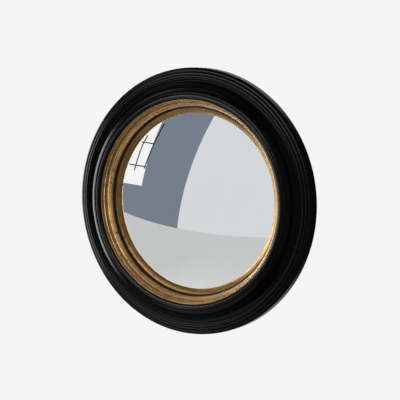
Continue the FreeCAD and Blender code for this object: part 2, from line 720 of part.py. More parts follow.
def hanger_ring():
    """D-ring of round wire: straight bar in the strap's eye, two legs and a half-round top.
    Drawn with the bar along X through its origin and the top along +Y."""
    body = new_body("hanger_ring")
    width, corner, leg = size("ring_half_width"), size("ring_corner"), size("ring_leg")
    path = new_sketch(body, "ring_path", "XY_Plane")
    bend = ("dome", corner)
    draw_outline(path, [
        ("0", "0"),
        (f"({width}) - ({corner})", "0", bend),
        (width, corner),
        (width, leg, ("dome", width)),
        ("0", f"({leg}) + ({width})", ("dome", width)),
        (f"-({width})", leg),
        (f"-({width})", corner, bend),
        (f"-(({width}) - ({corner}))", "0"),
    ])
    wire = new_sketch(body, "wire_outline", "YZ_Plane")
    draw_circle(wire, "0", "0", size("ring_wire_radius"))
    ring = body.newObject("PartDesign::AdditivePipe", "ring")
    ring.Profile = wire
    ring.Spine = path
    return body, hanger_placement(-number(EYE_OUTER))


def hanger_screws():
    """Two pan-head screws through the strap into the base moulding."""
    body = new_body("hanger_screws")
    corners = pan_head_screw(size("hanger_screw_radius"), size("hanger_screw_length"))
    screw = turn(body, "screw", corners, plane="YZ_Plane", across=R_HANGER_SCREW_IN, along=D_STRAP_REAR)
    pattern = body.newObject("PartDesign::LinearPattern", "screw_pattern")
    pattern.Originals = [screw]
    pattern.Direction = (origin_feature(body, "Y_Axis"), [""])
    pattern.setExpression("Length", size("hanger_screw_pitch"))
    pattern.Occurrences = 2
    body.Tip = pattern
    return body


def hanger_placement(depth_from_floor):
    """Place of a hanger piece at the top of the mirror, on or behind the recess floor."""
    spot = FreeCAD.Vector(0, number(R_EYE), number(D_FLOOR) + depth_from_floor)
    return FreeCAD.Placement(spot, FreeCAD.Rotation())


# ---------------------------------------------------------------- the assembly

RING_PIECES = (
    base_moulding, crest_moulding, gilt_moulding, sight_ring, mirror_glass, glass_felt,
    packing_ring, backboard, frame_screws, turn_button_screws, hanger_screws,
)
pieces = [(make(), FreeCAD.Placement()) for make in RING_PIECES]
pieces += [turn_button(index) for index in range(BUTTON_COUNT)]
pieces += [hanger_strap(), hanger_ring()]

for body, place in pieces:
    body.Placement = PLACE_ON_WALL.multiply(place)
doc.recompute()

failed = [item.Label for item in doc.Objects if {"Invalid", "Error"} & set(item.State)]
failed += [body.Label for body, place in pieces if body.Shape.isNull() or not body.Shape.isValid()]
if failed:
    raise RuntimeError("these did not build: " + ", ".join(failed))

os.makedirs("parts", exist_ok=True)
for body, place in pieces:
    body.Shape.exportStep(f"parts/{body.Label}.step")
    print(f"{body.Label}: {len(body.Shape.Solids)} solids, {body.Shape.Volume:.1f} mm3")
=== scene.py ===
"""Convex wall mirror: the finish of its turned black rings, gilding, domed glass and back."""

import math

import bpy
import numpy as np
from bpy.props import FloatProperty, FloatVectorProperty, IntProperty, PointerProperty
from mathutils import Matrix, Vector


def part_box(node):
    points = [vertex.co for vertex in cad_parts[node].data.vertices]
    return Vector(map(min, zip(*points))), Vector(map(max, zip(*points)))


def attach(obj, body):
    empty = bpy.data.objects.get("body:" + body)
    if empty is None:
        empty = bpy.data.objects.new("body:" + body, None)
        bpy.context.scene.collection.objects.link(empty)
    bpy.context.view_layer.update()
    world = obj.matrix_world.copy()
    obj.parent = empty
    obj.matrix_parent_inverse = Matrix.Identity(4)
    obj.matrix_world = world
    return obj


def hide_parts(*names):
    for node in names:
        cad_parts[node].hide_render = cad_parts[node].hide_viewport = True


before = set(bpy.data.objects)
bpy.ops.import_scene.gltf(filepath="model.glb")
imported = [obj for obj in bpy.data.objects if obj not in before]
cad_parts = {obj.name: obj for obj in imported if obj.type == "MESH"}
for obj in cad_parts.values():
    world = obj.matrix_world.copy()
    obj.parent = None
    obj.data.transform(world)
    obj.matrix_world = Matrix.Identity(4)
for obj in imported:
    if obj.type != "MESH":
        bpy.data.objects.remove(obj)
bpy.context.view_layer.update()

bl_info = {
    "name": "Convex Mirror Finish",
    "version": (1, 0, 0),
    "blender": (4, 5, 0),
    "location": "View3D > Sidebar > Convex Mirror",
    "description": "Turned mouldings, gilding, domed glass, fittings and studio of a convex wall mirror",
    "category": "Object",
}

MM = 0.001
TOP_ANGLE = math.pi / 2
RING_STEPS = 360
BUTTON_COUNT = 6
FRAME_SCREW_COUNT = 8
RIM_CLEARANCE = 0.02 * MM  # keeps the finely meshed round bead inside the CAD rim

# ------------------------------------------------------------------ places read from the frame


def node_radius(node):
    """Largest distance of a ring's box from the mirror's axis."""
    low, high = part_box(node)
    return max(-low.x, high.x)


def node_depth(node):
    """(least, greatest) distance of a node from the wall."""
    low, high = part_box(node)
    return -high.y, -low.y


RIM_RADIUS = node_radius("base_moulding") - RIM_CLEARANCE
RECESS_FLOOR = node_depth("backboard")[0]
GLASS_RADIUS = node_radius("mirror_glass")
GLASS_CREST = node_depth("mirror_glass")[1]
BOARD_RADIUS = node_radius("backboard")


# ------------------------------------------------------------------ sizes and colours


def length(name, default, description):
    """A size in metres."""
    return FloatProperty(name=name, description=description, default=default, min=0.0,
                         unit="LENGTH", subtype="DISTANCE", precision=5)


def colour(name, default, description):
    """A colour as linear red, green and blue."""
    return FloatVectorProperty(name=name, description=description, default=default,
                               size=3, min=0.0, max=1.0, subtype="COLOR")


def share(name, default, description):
    """A number from 0 to 1."""
    return FloatProperty(name=name, description=description, default=default,
                         min=0.0, max=1.0, subtype="FACTOR")


def strength(name, default, description):
    """A light's strength, from 0 up."""
    return FloatProperty(name=name, description=description, default=default, min=0.0)


class MouldingSizes(bpy.types.PropertyGroup):
    """Widths, rises and rounds of the mouldings, from the rim inwards."""

    rim_radius: length("Rim radius", RIM_RADIUS, "Outside radius of the mirror")
    rim_lift: length("Rim lift", 10.5 * MM, "Depth at which the bevel behind the rim ends")
    rim_wall: length("Rim wall", 10.4 * MM, "Height of the rim's outside wall")
    rim_bead_width: length("Rim bead width", 4.7 * MM, "Width of the sloping bead on the rim")
    rim_bead_rise: length("Rim bead rise", 5.4 * MM, "Rise of the bead on the rim")
    rim_bead_swell: length("Rim bead swell", 1.5 * MM, "How far the bead on the rim swells out")
    groove_width: length("Groove width", 1.2 * MM, "Width of the grooves beside the reed")
    groove_depth: length("Groove depth", 0.7 * MM, "Depth of the grooves beside the reed")
    reed_width: length("Reed width", 3.7 * MM, "Width of the reed")
    reed_rise: length("Reed rise", 1.7 * MM, "Rise of the reed")
    reed_swell: length("Reed swell", 0.6 * MM, "How far the reed swells out")
    arris_width: length("Arris width", 2.8 * MM, "Width of the thin bead at the step's edge")
    arris_rise: length("Arris rise", 1.9 * MM, "Rise of the thin bead at the step's edge")
    arris_shoulder: length("Arris shoulder", 0.9 * MM, "Rounded inner edge of the thin bead")
    arris_swell: length("Arris swell", 1.25 * MM, "How far the thin bead swells out")
    step_wall_width: length("Step wall width", 1.5 * MM, "Width of the step's wall")
    step_wall_drop: length("Step wall drop", 1.9 * MM, "Drop of the step's wall")
    step_bead_width: length("Step bead width", 1.7 * MM, "Width of the small bead in the step")
    step_bead_drop: length("Step bead drop", 1.0 * MM, "Drop of the small bead in the step")
    step_bead_swell: length("Step bead swell", 0.4 * MM, "How far the small bead in the step swells out")
    step_foot_width: length("Step foot width", 2.1 * MM, "Width of the step's foot")
    step_foot_drop: length("Step foot drop", 1.6 * MM, "Drop of the step's foot")
    cove_width: length("Cove width", 8.9 * MM, "Width of the hollow cove")
    cove_rise: length("Cove rise", 11.3 * MM, "Rise of the hollow cove")
    cove_hollow: length("Cove hollow", 2.0 * MM, "How far the cove is hollowed")
    roll_width: length("Roll width", 8.5 * MM, "Width of the roll")
    roll_rise: length("Roll rise", 8.2 * MM, "Rise of the roll")
    roll_swell: length("Roll swell", 1.6 * MM, "How far the roll swells out")
    quirk_width: length("Quirk width", 1.1 * MM, "Width of the groove inside the roll")
    quirk_depth: length("Quirk depth", 1.6 * MM, "Depth of the groove inside the roll")
    inner_bead_width: length("Inner bead width", 8.3 * MM, "Width of the bead beside the gilding")
    inner_bead_drop: length("Inner bead drop", 2.1 * MM, "Drop of the bead towards the gilding")
    inner_bead_swell: length("Inner bead swell", 1.6 * MM, "How far that bead swells out")
    gilt_bead_width: length("Gilt bead width", 3.5 * MM, "Width of the gilt bead")
    gilt_bead_drop: length("Gilt bead drop", 5.1 * MM, "Drop of the gilt bead")
    gilt_bead_swell: length("Gilt bead swell", 1.2 * MM, "How far the gilt bead swells out")
    gilt_quirk: length("Gilt quirk", 0.5 * MM, "Size of the fine groove in the gilding")
    gilt_ogee_width: length("Gilt ogee width", 3.4 * MM, "Width of the rounded gilt slope")
    gilt_ogee_drop: length("Gilt ogee drop", 5.2 * MM, "Drop of the rounded gilt slope")
    gilt_ogee_swell: length("Gilt ogee swell", 0.8 * MM, "How far the rounded gilt slope swells out")
    gilt_foot_width: length("Gilt foot width", 3.9 * MM, "Width of the hollow gilt slope")
    gilt_foot_drop: length("Gilt foot drop", 7.5 * MM, "Drop of the hollow gilt slope")
    gilt_foot_hollow: length("Gilt foot hollow", 0.4 * MM, "How far the hollow gilt slope is hollowed")
    shadow_gap: length("Shadow gap", 1.5 * MM, "Gap between the gilt moulding and the sight ring")
    shadow_height: length("Shadow height", 2.5 * MM, "Drop from the gilt foot to the sight ring")
    sight_width: length("Sight width", 8.5 * MM, "Width of the sight ring's sloping face")
    sight_drop: length("Sight drop", 5.5 * MM, "Drop of the sight ring's sloping face")
    sight_swell: length("Sight swell", 0.6 * MM, "How far the sight ring's face swells out")
    sight_lip: length("Sight lip", 1.2 * MM, "Thickness of the sight ring's lip over the glass")
    flange_width: length("Flange width", 4.6 * MM, "Width of the sight ring's flange under the gilding")
    flange_drop: length("Flange drop", 2.8 * MM, "Drop from the sight ring's top to its flange")
    ledge_rise: length("Ledge rise", 1.8 * MM, "Rise from the lip's underside to the flange's ledge")
    crest_seat_drop: length("Crest seat drop", 5.2 * MM, "Drop from the cove's top to the crest's seat")
    gilt_seat_drop: length("Gilt seat drop", 0.8 * MM, "Drop from the gilt foot to the gilding's seat")
    glue_gap: length("Glue gap", 0.15 * MM, "Room between rings that seat in each other")
    edge_softness: length("Edge softness", 0.16 * MM, "How far paint and sanding round the arrises")


class BackSizes(bpy.types.PropertyGroup):
    """Sizes of the back and of the glass in front of it."""

    bevel_width: length("Bevel width", 8.0 * MM, "Width of the bevel behind the rim")
    bearing_width: length("Bearing width", 22.0 * MM, "Width of the ring that touches the wall")
    bore_gap: length("Bore gap", 0.4 * MM, "Room between the backboard and the bore round it")
    floor_gap: length("Floor gap", 0.03 * MM, "Keeps the recess's floor clear of the fittings on it")
    glass_thickness: length("Glass thickness", 3.0 * MM, "Thickness of the domed glass")
    notch_width: length("Notch width", 26.0 * MM, "Width of the hanger's notch")
    notch_land: length("Notch land", 5.0 * MM, "Bearing ring left outside the notch")


class FittingSizes(bpy.types.PropertyGroup):
    """Sizes of the screws and the turn buttons."""

    screw_radius: length("Screw radius", 1.75 * MM, "Shank radius of the pan-head screws")
    screw_length: length("Screw length", 11.8 * MM, "Length of the pan-head screws under the head")
    pan_radius: length("Pan head radius", 3.6 * MM, "Radius of the pan heads")
    pan_height: length("Pan head height", 1.9 * MM, "Height of the pan heads")
    cross_half_width: length("Cross half width", 0.42 * MM, "Half the width of the cross recess's slots")
    cross_reach: length("Cross reach", 2.1 * MM, "How far the cross recess reaches from the middle")
    cross_lean: length("Cross lean", 0.12 * MM, "How far the walls of the slots lean")
    cross_run_out: length("Cross run-out", 0.9 * MM, "Length of the slots' sloping ends")
    cross_depth: length("Cross depth", 1.1 * MM, "Depth of the cross recess")
    frame_screw_radius: length("Frame screw radius", 2.0 * MM, "Shank radius of the frame screws")
    frame_screw_length: length("Frame screw length", 32.0 * MM, "Length of the frame screws")
    countersunk_radius: length("Countersunk radius", 4.0 * MM, "Head radius of the frame screws")
    button_heel: length("Button heel", 6.0 * MM, "Radius of a turn button round its pivot")
    button_tip: length("Button tip", 4.5 * MM, "Radius of a turn button's tip")
    button_burr: length("Button burr", 0.1 * MM, "Rounding of a turn button's pivot hole")
    button_reach: length("Button reach", 19.0 * MM, "From the pivot to the middle of the tip")
    button_thickness: length("Button thickness", 1.5 * MM, "Thickness of a turn button")
    button_round: length("Button round", 0.4 * MM, "Rounding of a turn button's edges")
    button_hole: length("Button hole", 1.95 * MM, "Radius of a turn button's pivot hole")


class Finishes(bpy.types.PropertyGroup):
    """Colours and sheens."""

    lacquer: colour("Lacquer", (0.0009, 0.0009, 0.0010), "Black satin lacquer")
    lacquer_roughness: share("Lacquer roughness", 0.17, "Roughness of the black lacquer")
    gold: colour("Gold", (0.85, 0.50, 0.17), "Fresh leaf")
    old_gold: colour("Old gold", (0.27, 0.12, 0.028), "Leaf under brown glaze")
    bole: colour("Bole", (0.16, 0.055, 0.025), "Red-brown clay where the leaf is rubbed through")
    # The glaze colour also paints the shade beside the shadow gap.
    glaze: colour("Glaze", (0.055, 0.026, 0.008), "Dark glaze that stays in the hollows")
    gilding_roughness: share("Gilding roughness", 0.28, "Roughness of the leaf")
    silver: colour("Silver", (0.90, 0.915, 0.92), "Silvering seen through clear glass")
    hardboard: colour("Hardboard", (0.17, 0.085, 0.040), "Pressed wood fibre")
    steel: colour("Steel", (0.60, 0.61, 0.60), "Zinc-plated steel")


class Studio(bpy.types.PropertyGroup):
    """Camera, lamps and surroundings."""

    photo_width: IntProperty(name="Photo width", default=400, subtype="PIXEL",
                             description="Width of the picture")
    azimuth: FloatProperty(name="Azimuth", default=math.radians(30.25), subtype="ANGLE",
                           description="Camera's turn to the right of the mirror's front")
    elevation: FloatProperty(name="Elevation", default=math.radians(4.78), subtype="ANGLE",
                             description="Camera's height above the mirror's axis")
    distance: length("Distance", 6.0, "Camera's distance from the mirror")
    scale: FloatProperty(name="Scale", default=0.6850,
                         description="Pixels of the picture for each millimetre at the mirror")
    offset_right: FloatProperty(name="Offset right", default=-0.30, subtype="PIXEL",
                                description="Mirror's centre, right of the picture's centre")
    offset_down: FloatProperty(name="Offset down", default=0.55, subtype="PIXEL",
                               description="Mirror's centre, below the picture's centre")
    ambient: strength("Ambient", 0.52, "Strength of the even light")
    window_light: strength("Window light", 2.6, "Radiance of the soft light on the left")
    top_light: strength("Top light", 0.20, "Radiance of the soft light above")
    backdrop: colour("Backdrop", (0.913, 0.913, 0.913), "Pale surroundings as the camera sees them")
    grey_wall: colour("Grey wall", (0.20, 0.235, 0.285), "Grey wall that the glass mirrors")
    pale_wall: colour("Pale wall", (0.74, 0.76, 0.78), "Pale wall that the glass mirrors")
    window: colour("Window", (1.0, 1.0, 1.0), "Window that the glass mirrors")
    window_bars: colour("Window bars", (0.02, 0.02, 0.02), "Glazing bars of that window")
    ceiling: colour("Ceiling", (0.1, 0.1, 0.1), "Ceiling that the glass mirrors")


# ------------------------------------------------------------------ outlines


def arc_way(start, end, rise, step):
    """Points from start towards end, without end, about one step apart: on the straight chord, or
    on the arc whose middle stands off the chord by rise, to the right of the way for a positive
    rise. The arc's radius is chord^2 / (8 rise) + rise / 2."""
    start, end = np.array(start, float), np.array(end, float)
    chord = end - start
    span = np.hypot(*chord)
    count = max(2, int(np.ceil(span / step)))
    share_along = np.linspace(0.0, 1.0, count, endpoint=False)[:, None]
    if rise == 0.0:
        return start + share_along * chord
    radius = span ** 2 / (8.0 * rise) + rise / 2.0
    half_angle = math.asin(span / 2.0 / radius)
    aside = np.array([chord[1], -chord[0]]) / span
    middle = (start + end) / 2.0 - aside * (radius - rise)
    turn = (2.0 * share_along - 1.0) * half_angle
    return middle + radius * (np.cos(turn) * aside + np.sin(turn) * chord / span)


def trace(corners, step=0.05 * MM):
    """Closed outline as an array of (radius, depth). Each corner is (radius, depth, rise), where
    rise is that of the arc on the way to the next corner."""
    ways = []
    for index, (radius, depth, rise) in enumerate(corners):
        following = corners[(index + 1) % len(corners)]
        ways.append(arc_way((radius, depth), following[:2], rise, step))
    return np.concatenate(ways)


def blur_closed(points, spread, step=0.05 * MM):
    """Average of a closed outline along itself, weighted by a bell curve of that spread."""
    spreads_kept = 3.0
    reach = int(np.ceil(spreads_kept * spread / step))
    weights = np.exp(-0.5 * (np.arange(-reach, reach + 1) * step / spread) ** 2)
    weights /= weights.sum()
    padded = np.concatenate([points[-reach:], points, points[:reach]])
    columns = [np.convolve(padded[:, axis], weights, mode="valid") for axis in (0, 1)]
    return np.stack(columns, axis=1)


def outline_relief(points, spread=1.1 * MM, full=0.35 * MM):
    """How hollow each point of an outline lies, from -1 on a crest to 1 in a hollow: its distance
    from the blurred outline along the outward normal, where full or more counts as 1."""
    along = np.roll(points, -1, axis=0) - np.roll(points, 1, axis=0)
    normal = np.stack([along[:, 1], -along[:, 0]], axis=1)
    normal /= np.maximum(np.linalg.norm(normal, axis=1, keepdims=True), 1e-12)
    stand_off = ((blur_closed(points, spread) - points) * normal).sum(axis=1)
    return np.clip(stand_off / full, -1.0, 1.0)


def thin_out(points, extra, count, bend_weight=1.4):
    """Pick count points of a closed outline, closest together where it bends, and the same
    entries of extra. bend_weight is what all the bends count for, against 1 for the way round."""
    step = np.roll(points, -1, axis=0) - points
    heading = np.unwrap(np.arctan2(step[:, 1], step[:, 0]))
    bend = np.abs(np.gradient(heading))
    way = np.linalg.norm(step, axis=1)
    weight = way / way.sum() + bend_weight * bend / bend.sum()
    place = np.concatenate([[0.0], np.cumsum(weight)])
    place /= place[-1]
    picked = np.searchsorted(place, (np.arange(count) + 0.5) / count) - 1
    picked = np.unique(np.clip(picked, 0, len(points) - 1))
    return points[picked], extra[picked]


def soft_outline(corners, softness, count):
    """(outline, relief) of a closed moulding outline with softened arrises."""
    points = blur_closed(trace(corners), softness)
    return thin_out(points, outline_relief(points), count)


# ------------------------------------------------------------------ meshes


def make_piece(name, points, faces):
    """Smooth-shaded mesh object from an array of points and arrays of faces, one row per face.
    The faces are turned to point outwards where the enclosed volume comes out negative."""
    triangles = np.concatenate(
        [face[:, [0, k, k + 1]] for face in faces for k in range(1, face.shape[1] - 1)])
    a, b, c = (points[triangles[:, k]] for k in range(3))
    if (a * np.cross(b, c)).sum() < 0.0:
        faces = [face[:, ::-1] for face in faces]
    corners = np.concatenate([face.ravel() for face in faces])
    sides = np.concatenate([np.full(len(face), face.shape[1]) for face in faces])
    starts = np.concatenate([[0], np.cumsum(sides)[:-1]])
    mesh = bpy.data.meshes.new(name)
    mesh.vertices.add(len(points))
    mesh.vertices.foreach_set("co", points.astype(np.float32).ravel())
    mesh.loops.add(len(corners))
    mesh.loops.foreach_set("vertex_index", corners.astype(np.int32))
    mesh.polygons.add(len(sides))
    mesh.polygons.foreach_set("loop_start", starts.astype(np.int32))
    mesh.update(calc_edges=True)
    mesh.polygons.foreach_set("use_smooth", np.ones(len(sides), bool))
    mesh.update()
    piece = bpy.data.objects.new(name, mesh)
    bpy.context.scene.collection.objects.link(piece)
    return piece


def grid_faces(rows, columns, wrap_rows=False, wrap_columns=False):
    """Quads of a grid of points stored row by row, closed round either way where asked."""
    down = np.arange(rows if wrap_rows else rows - 1)
    across = np.arange(columns if wrap_columns else columns - 1)
    i, j = np.meshgrid(down, across, indexing="ij")
    i_next, j_next = (i + 1) % rows, (j + 1) % columns
    corners = ((i, j), (i, j_next), (i_next, j_next), (i_next, j))
    return np.stack([(row * columns + column).ravel() for row, column in corners], axis=1)


def set_attribute(piece, name, values):
    """One number for each point of a piece."""
    attribute = piece.data.attributes.new(name, "FLOAT", "POINT")
    attribute.data.foreach_set("value", values.astype(np.float32).ravel())


def even_angles(count):
    """Angles round a full turn."""
    return np.linspace(0.0, 2.0 * math.pi, count, endpoint=False)


def turned_ring(name, outline, relief, angles, shift=None):
    """Surface of revolution about the mirror's axis, closed both ways: a point of the outline at
    radius r and depth d goes to (r cos a, -d, r sin a). shift, one row per angle and one column
    per outline point, is added to r first."""
    radius = np.broadcast_to(outline[:, 0], (len(angles), len(outline)))
    if shift is not None:
        radius = radius + shift
    depth = np.broadcast_to(outline[:, 1], radius.shape)
    cosine, sine = np.cos(angles)[:, None], np.sin(angles)[:, None]
    points = np.stack([radius * cosine, -depth, radius * sine], axis=2)
    faces = grid_faces(len(angles), len(outline), wrap_rows=True, wrap_columns=True)
    piece = make_piece(name, points.reshape(-1, 3), [faces])
    # On the gilt rings hollow also carries painted shade beside the shadow gap.
    set_attribute(piece, "hollow", np.broadcast_to(relief, radius.shape))
    return piece


def turned_solid(name, spots, outline, angles, sink=None):
    """Copies of a surface of revolution with both ends on its own axis, which is parallel to Y.
    outline runs from pole to pole as (radius, distance along +Y); a point goes to
    spot + (r cos a, y, r sin a). sink(x, z, y), where given, is taken from y."""
    inside = outline[1:-1]
    radius, height = inside[:, 0], inside[:, 1]
    x = radius[:, None] * np.cos(angles)
    z = radius[:, None] * np.sin(angles)
    y = np.broadcast_to(height[:, None], x.shape).copy()
    poles = np.array([[0.0, outline[0, 1], 0.0], [0.0, outline[-1, 1], 0.0]])
    if sink is not None:
        y -= sink(x, z, y)
        poles[:, 1] -= sink(poles[:, 0], poles[:, 2], poles[:, 1])
    shell = np.concatenate([np.stack([x, y, z], axis=2).reshape(-1, 3), poles])
    count = len(angles)
    first, last = len(inside) * count, len(inside) * count + 1
    around = np.arange(count)
    following = (around + 1) % count
    end_row = (len(inside) - 1) * count
    quads = grid_faces(len(inside), count, wrap_columns=True)
    fans = np.concatenate([
        np.stack([np.full(count, first), following, around], axis=1),
        np.stack([np.full(count, last), end_row + around, end_row + following], axis=1),
    ])
    points = (spots[:, None, :] + shell[None]).reshape(-1, 3)
    offset = (np.arange(len(spots)) * len(shell))[:, None, None]
    faces = [(kind[None] + offset).reshape(-1, kind.shape[1]) for kind in (quads, fans)]
    return make_piece(name, points, faces)


def settle(piece, body, slot, material, *nodes):
    """Put a finished piece on its body, with its material, in place of its CAD nodes. slot is not used.
    """
    piece.data.materials.append(material)
    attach(piece, body)
    if nodes:
        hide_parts(*nodes)


def box_middle(node):
    """Middle of a node's box, and half its size, as arrays."""
    low, high = (np.array(corner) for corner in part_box(node))
    return (low + high) / 2.0, (high - low) / 2.0


def refinish(node, material):
    """Give a CAD node that stays a better material."""
    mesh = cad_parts[node].data
    mesh.materials.clear()
    mesh.materials.append(material)


# ------------------------------------------------------------------ materials


def new_group(name, inputs, outputs):
    """Shader node group with named sockets: (tree, its input node, its output node)."""
    tree = bpy.data.node_groups.new(name, "ShaderNodeTree")
    for label, kind, default in inputs:
        socket = tree.interface.new_socket(label, in_out="INPUT", socket_type=kind)
        socket.default_value = default
    for label, kind in outputs:
        tree.interface.new_socket(label, in_out="OUTPUT", socket_type=kind)
    return tree, tree.nodes.new("NodeGroupInput"), tree.nodes.new("NodeGroupOutput")


def add_node(tree, kind, values=None, **settings):
    """Node with its settings, and with numbers or links given to its inputs by name or place."""
    node = tree.nodes.new(kind)
    for key, value in settings.items():
        setattr(node, key, value)
    for key, value in (values or {}).items():
        if isinstance(value, bpy.types.NodeSocket):
            tree.links.new(value, node.inputs[key])
        else:
            node.inputs[key].default_value = value
    return node


def maths(tree, operation, *values, clamp=False):
    """Result of a Math node."""
    node = add_node(tree, "ShaderNodeMath", dict(enumerate(values)),
                    operation=operation, use_clamp=clamp)
    return node.outputs[0]


def ramp(tree, value, low, high):
    """Smooth step from 0 at low to 1 at high."""
    node = add_node(tree, "ShaderNodeMapRange", {"Value": value, "From Min": low, "From Max": high},
                    interpolation_type="SMOOTHSTEP")
    return node.outputs["Result"]


def noise(tree, vector, scale, detail=2.0, roughness=0.5):
    """Cloudy noise between 0 and 1."""
    node = add_node(tree, "ShaderNodeTexNoise",
                    {"Vector": vector, "Scale": scale, "Detail": detail, "Roughness": roughness})
    return node.outputs["Fac"]


def mix_colour(tree, factor, first, second):
    """Colour that passes from the first to the second with the factor."""
    node = add_node(tree, "ShaderNodeMix", {"Factor": factor}, data_type="RGBA")
    for key, value in ((6, first), (7, second)):
        if isinstance(value, bpy.types.NodeSocket):
            tree.links.new(value, node.inputs[key])
        else:
            node.inputs[key].default_value = (*value, 1.0)
    return node.outputs[2]


def object_place(tree):
    """Place on the object, in its own coordinates."""
    return add_node(tree, "ShaderNodeTexCoord").outputs["Object"]


def turned_lines_group():
    """Fine lines round the mirror's axis, as a lathe tool and a brush leave them: noise that
    changes fast with radius and depth and slowly along the circle."""
    tree, given, made = new_group(
        "turned_lines",
        [("Lines per Metre", "NodeSocketFloat", 1500.0), ("Wander", "NodeSocketFloat", 6.0)],
        [("Height", "NodeSocketFloat")])
    place = add_node(tree, "ShaderNodeSeparateXYZ", {0: object_place(tree)})
    x, y, z = place.outputs
    squares = maths(tree, "ADD", maths(tree, "MULTIPLY", x, x), maths(tree, "MULTIPLY", z, z))
    radius = maths(tree, "SQRT", squares)
    across = maths(tree, "MULTIPLY", radius, given.outputs["Lines per Metre"])
    depth = maths(tree, "MULTIPLY", y, given.outputs["Lines per Metre"])
    slant = maths(tree, "SUBTRACT", across, depth)
    lift = maths(tree, "MULTIPLY", maths(tree, "ADD", x, z), given.outputs["Wander"])
    drift = maths(tree, "MULTIPLY", z, 4.0)
    spot = add_node(tree, "ShaderNodeCombineXYZ", {0: slant, 1: lift, 2: drift})
    lines = noise(tree, spot.outputs[0], 1.0, detail=2.0, roughness=0.6)
    tree.links.new(lines, made.inputs["Height"])
    return tree


def mottle_group():
    """Cloudy patches at two scales, between 0 and 1."""
    tree, given, made = new_group(
        "mottle", [("Scale", "NodeSocketFloat", 60.0)], [("Value", "NodeSocketFloat")])
    place = object_place(tree)
    broad = noise(tree, place, given.outputs["Scale"], detail=3.0, roughness=0.6)
    fine = noise(tree, place, maths(tree, "MULTIPLY", given.outputs["Scale"], 7.0), detail=2.0)
    value = maths(tree, "ADD", maths(tree, "MULTIPLY", broad, 0.65), maths(tree, "MULTIPLY", fine, 0.35))
    tree.links.new(ramp(tree, value, 0.32, 0.68), made.inputs["Value"])
    return tree


def specks_group():
    """Small scattered spots: 1 where a cell noise comes close to a cell's middle and that cell's
    own random value passes the share asked for."""
    tree, given, made = new_group(
        "specks",
        [("Scale", "NodeSocketFloat", 500.0), ("Size", "NodeSocketFloat", 0.30),
         ("Share", "NodeSocketFloat", 0.3)],
        [("Mask", "NodeSocketFloat")])
    cells = add_node(tree, "ShaderNodeTexVoronoi",
                     {"Vector": object_place(tree), "Scale": given.outputs["Scale"]})
    random = add_node(tree, "ShaderNodeSeparateColor", {0: cells.outputs["Color"]}).outputs[0]
    near = maths(tree, "LESS_THAN", cells.outputs["Distance"], given.outputs["Size"])
    chosen = maths(tree, "LESS_THAN", random, given.outputs["Share"])
    tree.links.new(maths(tree, "MULTIPLY", near, chosen), made.inputs["Mask"])
    return tree


def use_group(tree, group, **values):
    """Place a group; values are given by socket name with spaces written as underscores."""
    node = add_node(tree, "ShaderNodeGroup", node_tree=group)
    for key, value in values.items():
        node.inputs[key.replace("_", " ")].default_value = value
    return node.outputs


def surface_material(name):
    """Material with a Principled BSDF: (material, tree, BSDF)."""
    material = bpy.data.materials.new(name)
    material.use_nodes = True
    tree = material.node_tree
    return material, tree, tree.nodes["Principled BSDF"]


def give(tree, shader, **values):
    """Set or link inputs of a shader by name, with spaces written as underscores."""
    for key, value in values.items():
        socket = shader.inputs[key.replace("_", " ")]
        if isinstance(value, bpy.types.NodeSocket):
            tree.links.new(value, socket)
        elif socket.type == "RGBA":
            socket.default_value = (*value, 1.0)
        else:
            socket.default_value = value


def swap_surface(tree, factor, usual, other):
    """Make the surface pass from the usual shader to the other one with the factor."""
    mixed = add_node(tree, "ShaderNodeMixShader", {0: factor, 1: usual.outputs[0], 2: other.outputs[0]})
    tree.links.new(mixed.outputs[0], tree.nodes["Material Output"].inputs["Surface"])


def clear_to_mirror(tree, shader):
    """Let mirror-sharp reflections pass, so that the glass mirrors the room right up to the sight
    ring and not the rings themselves."""
    sharp = add_node(tree, "ShaderNodeLightPath").outputs["Is Singular Ray"]
    swap_surface(tree, sharp, shader, add_node(tree, "ShaderNodeBsdfTransparent"))


def bump(tree, height, distance):
    """Normal of a surface that rises by distance where the height is 1."""
    node = add_node(tree, "ShaderNodeBump", {"Height": height, "Distance": distance, "Strength": 1.0})
    return node.outputs["Normal"]


def build_groups():
    """The shader groups that the materials share."""
    return {"lines": turned_lines_group(), "mottle": mottle_group(), "specks": specks_group()}


def scaled(tone, factor):
    """A colour times a number."""
    return tuple(factor * part for part in tone)


def lacquer_material(groups, finish):
    """Black satin lacquer over turned wood: tool lines, faint patches in the sheen, some dust."""
    material, tree, shader = surface_material("black_lacquer")
    lines = use_group(tree, groups["lines"], Lines_per_Metre=1100.0, Wander=2.0)["Height"]
    patches = use_group(tree, groups["mottle"], Scale=35.0)["Value"]
    dust = use_group(tree, groups["specks"], Scale=420.0, Size=0.16, Share=0.10)["Mask"]
    base = mix_colour(tree, patches, finish.lacquer, scaled(finish.lacquer, 1.7))
    base = mix_colour(tree, maths(tree, "MULTIPLY", dust, 0.08), base, (0.10, 0.095, 0.09))
    rough = maths(tree, "ADD", finish.lacquer_roughness, maths(tree, "MULTIPLY", patches, 0.06))
    rough = maths(tree, "ADD", rough, maths(tree, "MULTIPLY", lines, 0.05))
    give(tree, shader, Base_Color=base, Roughness=rough, Normal=bump(tree, lines, 0.00003))
    clear_to_mirror(tree, shader)
    return material


